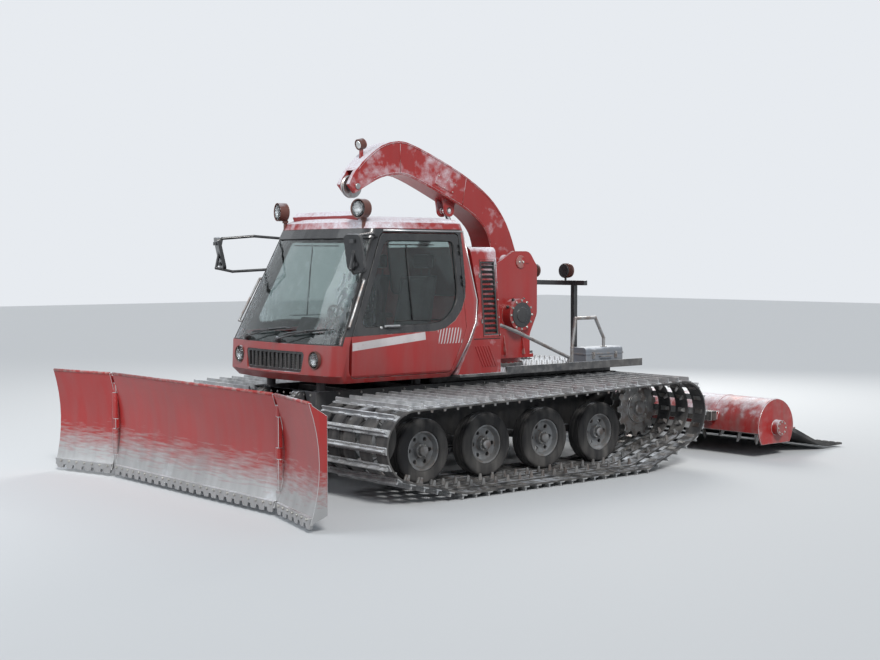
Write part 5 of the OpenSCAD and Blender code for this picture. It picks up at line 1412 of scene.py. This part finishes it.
slew_x, drum_z, cheek_out, motor_face = -0.050, 1.800, 0.460, 0.600
boom_pin_x, boom_pin_z = -0.160, 2.430
finish("winch_turret", red_paint, worn_red)
finish("winch_drum", bare_steel, bright_edge, 0.004)
race_bolts = ring_of((slew_x, 0, 1.210), (0, 0, 1), 0.415, 36)
bolts("race_bolts", "chassis", 0.011, race_bolts)
motor_shape, plate_shape = bmesh.new(), bmesh.new()
winch_bolts = []
for side in (-1, 1):
    face = (slew_x, side * motor_face, drum_z)
    # The cap stays low, as the turret turns it past the radiator
    add_lathe(motor_shape,
              [(0.150, -0.004), (0.150, 0.009), (0.095, 0.014), (0.088, 0.024), (0.074, 0.027),
               (0, 0.027)],
              face, (0, side, 0), 36)
    for angle in (0.5, 1.1, 2.0, 2.6):
        outward = Vector((math.cos(angle), 0, math.sin(angle)))
        add_lathe(motor_shape, [(0.020, -0.01), (0.020, 0.014), (0.014, 0.014), (0.014, 0.030), (0, 0.030)],
                  Vector(face) - Vector((0, side * 0.055, 0)) + outward * 0.188, outward, 12)
    winch_bolts += ring_of(face, (0, side, 0), 0.170, 12)
    add_lathe(plate_shape, [(0.078, -0.002), (0.078, 0.012), (0.070, 0.016), (0, 0.016)],
              (boom_pin_x, side * cheek_out, boom_pin_z), (0, side, 0), 36)
    add_box(plate_shape, (-0.30, side * cheek_out - 0.001, boom_pin_z - 0.015),
            (-0.10, side * cheek_out + 0.009 * side, boom_pin_z + 0.015))
    winch_bolts += [((boom_pin_x + shift, side * (cheek_out + 0.016), boom_pin_z), (0, side, 0), (1, 0, 0))
                    for shift in (-0.03, 0.03)]
    # Ribs between the cheek and the base plate
    for x in (-0.20, 0.10):
        add_prism(plate_shape,
                  [(x, side * (cheek_out - 0.001), 1.32), (x, side * (cheek_out - 0.001), 1.56),
                   (x, side * (cheek_out + 0.05), 1.32)], (0.014, 0, 0))
place_shape("winch_motors", motor_shape, cab_black, 0.002, body="winch")
place_shape("winch_plates", plate_shape, worn_red, 0.002, body="winch")
bolts("winch_bolts", "winch", 0.013, winch_bolts)

# Rope: stranded steel wire, greased and dull in its grooves. A node tree winds one layer of it, turn
# against turn, on the drum.

rope_steel, rope_shader = new_material("rope_steel")
where = places(rope_steel.node_tree)
around = put(rope_steel.node_tree, "ShaderNodeMapping",
             [("Vector", where), ("Location", (-slew_x, 0.0, -drum_z))])
rope_x, rope_y, rope_z = split(around.outputs[0])
strand = maths("SINE", maths("ADD", times(maths("ARCTAN2", rope_z, rope_x), 150.0), times(rope_y, 1100.0)))
rope_colour = blend_colours(ramp(strand, -1.0, 1.0), (0.05, 0.042, 0.035, 1), (0.36, 0.34, 0.31, 1))
feed(rope_shader,
     [("Base Color", rope_colour), ("Roughness", ramp(noise(where, 12.0), 0.35, 0.65, 0.25, 0.55)),
      ("Normal", bump(strand, 0.0015, 0.8)), ("Metallic", 0.9)])
winding_tree, winding_in, winding_out = new_tree("rope_winding", [
    ("Turns", "Float"), ("Radius", "Float"), ("Width", "Float"), ("Rope Radius", "Float"),
    ("Axle", "Vector"), ("Material", "Material")])
helix = put(winding_tree, "GeometryNodeCurveSpiral", [
    ("Resolution", 44), ("Rotations", winding_in["Turns"]), ("Start Radius", winding_in["Radius"]),
    ("End Radius", winding_in["Radius"]), ("Height", winding_in["Width"])])
rope_section = put(winding_tree, "GeometryNodeCurvePrimitiveCircle",
                   [("Resolution", 8), ("Radius", winding_in["Rope Radius"])])
wound = put(winding_tree, "GeometryNodeCurveToMesh",
            [("Curve", helix.outputs[0]), ("Profile Curve", rope_section.outputs[0]),
             ("Fill Caps", True)])
laid = put(winding_tree, "GeometryNodeTransform", [
    (0, wound.outputs[0]), ("Translation", winding_in["Axle"]), ("Rotation", (math.radians(90), 0.0, 0.0))])
hand_out(winding_tree, laid.outputs[0], winding_in["Material"], winding_out)
rope_radius, winding_width = 0.008, 0.760
winding = grow_new("rope_winding", winding_tree, {
    "Turns": winding_width / (2 * rope_radius), "Radius": 0.2505, "Width": winding_width,
    "Rope Radius": rope_radius, "Axle": (slew_x, winding_width / 2, drum_z), "Material": rope_steel})
settle(winding, "drum")

# Boom: a box girder of red plate that arches over the cab, with a work lamp on its nose and, between its
# cheeks, the sheave for the rope.

finish("boom", frosted_red, worn_frosted, 0.006)
finish("boom_sheave", bare_steel, bright_edge)
boom_back = [(-0.060, 0.590), (0.140, 0.790), (0.470, 1.000), (0.870, 1.190), (1.290, 1.350),
             (1.500, 1.385), (1.730, 1.330), (1.950, 1.180), (2.090, 1.040)]
boom_belly = [(0.130, 0.230), (0.230, 0.420), (0.470, 0.600), (0.870, 0.790), (1.290, 0.960),
              (1.500, 1.000), (1.740, 0.960), (1.860, 0.910)]
boom_half, boom_tip_half = 0.170, 0.115


def boom_side(x, z, side, out):
    """A point on a side plate of the boom, which narrows in plan towards its nose."""
    share = min(1.0, max(0.0, (x - 0.300) / 1.950))
    return Vector((slew_x + x, side * (boom_half + share * (boom_tip_half - boom_half) + out),
                   boom_pin_z + z))


def smooth_line(points, steps):
    """Points of a smooth line through these, with so many steps between two of them."""
    line = []
    for i in range(len(points) - 1):
        a, b, c, d = (Vector(points[min(max(k, 0), len(points) - 1)]) for k in (i - 1, i, i + 1, i + 2))
        for k in range(steps):
            t = k / steps
            line.append((2 * b + (c - a) * t + (2 * a - 5 * b + 4 * c - d) * t ** 2
                         + (3 * b - a - 3 * c + d) * t ** 3) / 2)
    return line + [Vector(points[-1])]


# Fillet welds: the side plates stand a little proud of the back and belly plates, joined by rippled beads
weld_shape, cover_shape = bmesh.new(), bmesh.new()
cover_bolts = []
for side in (-1, 1):
    for outline, inward in ((boom_back, -0.022), (boom_belly, 0.020)):
        line = smooth_line(outline, 5)
        bead_line = []
        for i, point in enumerate(line):
            ahead = (line[min(i + 1, len(line) - 1)] - line[max(i - 1, 0)]).normalized()
            inset = point + Vector((-ahead.y, ahead.x)) * inward
            bead_line.append(boom_side(inset.x, inset.y, side, 0.001))
        add_tube(weld_shape, bead_line, 0.0045, 6)
    for low, high in (((0.560, 0.670), (0.500, 0.990)), ((1.480, 1.025), (1.480, 1.350))):
        add_tube(weld_shape, [boom_side(*low, side, 0.001), boom_side(*high, side, 0.001)], 0.004, 6)
    # Bolted cover over the grease pipes
    corner, along_cover = Vector((0.700, 0.800)), Vector((0.928, 0.372))
    across_cover = Vector((-along_cover.y, along_cover.x))
    outline = [corner, corner + along_cover * 0.30, corner + along_cover * 0.30 + across_cover * 0.13,
               corner + across_cover * 0.13]
    add_prism(cover_shape, [boom_side(point.x, point.y, side, -0.012) for point in outline],
              (0, side * 0.018, 0))
    for share_along in (0.02, 0.15, 0.28):
        for share_across in (0.018, 0.112):
            spot = corner + along_cover * share_along + across_cover * share_across
            cover_bolts.append((boom_side(spot.x, spot.y, side, 0.006), (0, side, 0), (1, 0, 0)))
place_shape("boom_welds", weld_shape, worn_frosted, body="boom")
place_shape("boom_covers", cover_shape, frosted_red, 0.002, body="boom")
bolts("boom_cover_bolts", "boom", 0.007, cover_bolts)
boom_cap_shape = bmesh.new()
sheave_x, sheave_z, fork_half = slew_x + 2.080, boom_pin_z + 0.850, 0.1195
for side in (-1, 1):
    add_lathe(boom_cap_shape, [(0.034, -0.004), (0.034, 0.010), (0.028, 0.014), (0, 0.014)],
              (sheave_x, side * fork_half, sheave_z), (0, side, 0), 28)
place_shape("boom_pin_caps", boom_cap_shape, bare_steel, 0.001, body="boom")
lamp_tilt = math.radians(105)
lamp_axis = Vector((math.sin(lamp_tilt), 0, math.cos(lamp_tilt)))
nose_lamp = Vector((slew_x + 1.900, 0, boom_pin_z + 1.345)) + lamp_axis * 0.080
nose_rim_shape, nose_glass_shape = bmesh.new(), bmesh.new()
# Its housing is a can of the same brown as the roof lamps', drawn over the stub
add_lathe(nose_rim_shape,
          [(0, -0.086), (0.040, -0.085), (0.063, -0.068), (0.063, 0.004), (0.054, 0.006), (0.052, 0.0005)],
          nose_lamp, lamp_axis, 32)
add_lathe(nose_glass_shape, [(0.053, 0.0005), (0.036, 0.004), (0.018, 0.0055), (0, 0.006)], nose_lamp,
          lamp_axis, 32)
place_shape("nose_lamp_rim", nose_rim_shape, lamp_brown, 0.001, body="boom")
place_shape("nose_lamp_glass", nose_glass_shape, bright_bowl, body="boom")

# Rams: barrels of black painted steel, each with a gland nut and two plugged ports, and hard chromed rods.
# One lifts the boom, two lift the blade and two lift the tiller.

ram_paint = coat("ram_paint", (0.016, 0.017, 0.018), 0.35, frost=0.25, film=0.7, wear=0.3,
                 bare=(0.2, 0.18, 0.16))
chrome = coat("chrome_rod", (0.80, 0.80, 0.80), 0.08, frost=0.05, film=0.15, metallic=1.0, grain_depth=0.02)
for node in ("boom_ram_barrel", "blade_ram_barrels", "tiller_ram_barrels"):
    finish(node, ram_paint, bright_edge, 0.002)
for node in ("boom_ram_rod", "blade_ram_rods", "tiller_ram_rods"):
    finish(node, chrome)
# Name, body, foot and eye in X and Z, distances to the left of the middle, barrel's length and radius
rams = [("boom_gland", "boom_ram", (0.240, 2.215), (0.640, 3.040), (0.0,), 0.64, 0.055),
        ("blade_glands", "blade_rams", (3.010, 1.000), (3.480, 0.660), (-0.33, 0.33), 0.35, 0.055),
        ("tiller_glands", "tiller_rams", (-1.770, 0.990), (-2.300, 0.640), (-0.33, 0.33), 0.43, 0.050)]
for name, body, foot, eye, sides, barrel, radius in rams:
    shape = bmesh.new()
    for y in sides:
        start = Vector((foot[0], y, foot[1]))
        along = (Vector((eye[0], y, eye[1])) - start).normalized()
        over = Vector((-along.z, 0, along.x)) if along.x > 0 else Vector((along.z, 0, -along.x))
        add_lathe(shape, [(radius + 0.009, -0.030), (radius + 0.011, -0.026), (radius + 0.011, -0.010),
                          (radius + 0.009, -0.006)],
                  start + along * barrel, along, 8, closed=True)
        for place in (0.10, barrel - 0.07):
            add_lathe(shape, [(0.020, radius - 0.01), (0.020, radius + 0.012), (0.013, radius + 0.012),
                              (0.013, radius + 0.022), (0, radius + 0.022)], start + along * place, over,
                      12)
    place_shape(name, shape, bare_steel, 0.001, body=body)

# Blade and its carrier: a red hollow-faced moldboard in three sections with a bolted, toothed cutting edge.
# Snow polishes the face, most of all near the edge.

finish("push_frame", ram_paint, bright_edge, 0.004)
finish("swing_carrier", ram_paint, bright_edge, 0.004)


def scraped_paint(name, low, high):
    """Red paint that is scoured to bare steel under one height and whole above another."""
    material = coat(name, cab_red, 0.36, frost=0.46, film=0.2, bare=(0.32, 0.31, 0.30), gloss=0.2)
    where = places(material.node_tree)
    scratch = noise(stretched(where, (6.0, 1.2, 14.0)), 3.0, 8.0)
    ragged = maths("ADD", split(where)[2], times(scratch, -(high - low) * 1.6))
    bare = ramp(ragged, low - (high - low), low, 1.0, 0.0)
    recolour(material.node_tree, blend_colours(bare, (*cab_red, 1.0), (0.42, 0.42, 0.42, 1.0)))
    feed(material.node_tree.nodes["Principled BSDF"], [("Metallic", times(bare, 0.9))])
    return material


blade_paint = scraped_paint("blade_paint", 0.30, 0.62)
for node in ("blade", "wing_left", "wing_right"):
    finish(node, blade_paint, bright_edge, 0.004)
edge_front, edge_z = 4.168, 0.122
top_rail_x, top_rail_z, top_rail_radius = 4.172, 1.178, 0.016
wing_pivot, wing_sweep = Vector((4.120, 1.650, 0)), math.radians(15)


def on_wing(side, point):
    """A point of the straight blade carried round to a wing."""
    turned = Matrix.Rotation(-wing_sweep, 3, "Z") @ (Vector(point) - wing_pivot) + wing_pivot
    return Vector((turned.x, side * turned.y, turned.z))


blade_bolts = [((edge_front, -1.56 + 0.13 * i, edge_z), (1, 0, 0), (0, 1, 0)) for i in range(25)]
bolts("blade_bolts", "blade", 0.014, blade_bolts)
rail_shape = bmesh.new()
add_tube(rail_shape, [(top_rail_x, y, top_rail_z) for y in (-1.61, 0.0, 1.61)], top_rail_radius, 12)
place_shape("blade_top_rail", rail_shape, worn_red, body="blade")
for side, label in ((1, "left"), (-1, "right")):
    facing = on_wing(side, wing_pivot + Vector((1, 0, 0))) - on_wing(side, wing_pivot)
    across = on_wing(side, wing_pivot + Vector((0, 1, 0))) - on_wing(side, wing_pivot)
    wing_bolts = [(on_wing(side, (edge_front, 1.75 + 0.13 * i, edge_z)), facing, across) for i in range(7)]
    bolts("wing_bolts_" + label, "wing_" + label, 0.014, wing_bolts)
    shape = bmesh.new()
    add_tube(shape, [on_wing(side, (top_rail_x, y, top_rail_z)) for y in (1.69, 2.2, 2.62)],
             top_rail_radius, 12)
    place_shape("wing_top_rail_" + label, shape, worn_red, body="wing_" + label)

# Tiller: a toothed steel drum under a welded red hood, on a black frame behind the machine. A flexible comb
# of black plastic, hinged to the hood's rear flange, leaves the corduroy.

tiller_paint = coat("tiller_paint", cab_red, 0.4, frost=0.48, film=0.5, wear=0.1, bare=(0.30, 0.29, 0.28),
                    gloss=0.1)
finish("tiller_frame", ram_paint, bright_edge, 0.004)
finish("tiller_hood", tiller_paint, bright_edge)
finish("tiller_rotor", bare_steel, bright_edge)
comb_plastic = coat("comb_plastic", (0.015, 0.015, 0.016), 0.55, frost=0.28, film=0.5, grain_size=600,
                    grain_depth=0.2)
finish("finishing_comb", comb_plastic)
rotor_at, hood_outer, hood_half = Vector((-2.950, 0, 0.370)), 0.354, 2.150
hood_shape = bmesh.new()
for y in (-2.13, -1.42, -0.71, 0.0, 0.71, 1.42, 2.13):
    angles = [math.radians(degrees) for degrees in range(-2, 189, 8)]
    arc = [rotor_at + Vector((hood_outer * math.cos(angle), y, hood_outer * math.sin(angle)))
           for angle in angles]
    add_tube(hood_shape, arc, 0.005, 6)
# Hinges of the comb, along the rear flange
flange_x, flange_z = -3.335, 0.352
for y in [-2.0 + 0.4 * i for i in range(11)]:
    add_tube(hood_shape, [(flange_x, y - 0.05, flange_z), (flange_x, y + 0.05, flange_z)], 0.014, 10)
place_shape("hood_welds", hood_shape, tiller_paint, body="tiller")
tiller_bolts = [((flange_x + 0.03, -2.08 + 0.16 * i, flange_z - 0.006), (0, 0, 1), (0, 1, 0))
                for i in range(27)]
for side in (-1, 1):
    tiller_bolts += ring_of(rotor_at + Vector((0, side * 2.240, 0)), (0, side, 0), 0.074, 8)
bolts("tiller_bolts", "tiller", 0.011, tiller_bolts)
comb_rear, comb_fingers = min(point[0] for point in cad_bounds), 40
finger_pitch = (2 * hood_half - 0.04) / comb_fingers
ridge_shape = bmesh.new()
for i in range(comb_fingers):
    for share in (0.36, 0.64):
        y = 0.02 - hood_half + (i + share) * finger_pitch
        add_prism(ridge_shape,
                  [(comb_rear + 0.01, y, 0.054), (comb_rear + 0.30, y, 0.054), (comb_rear + 0.30, y, 0.064),
                   (comb_rear + 0.03, y, 0.061)], (0, 0.008, 0))
place_shape("comb_ridges", ridge_shape, comb_plastic, body="tiller", smooth=False)
bpy.data.objects.remove(bolt)
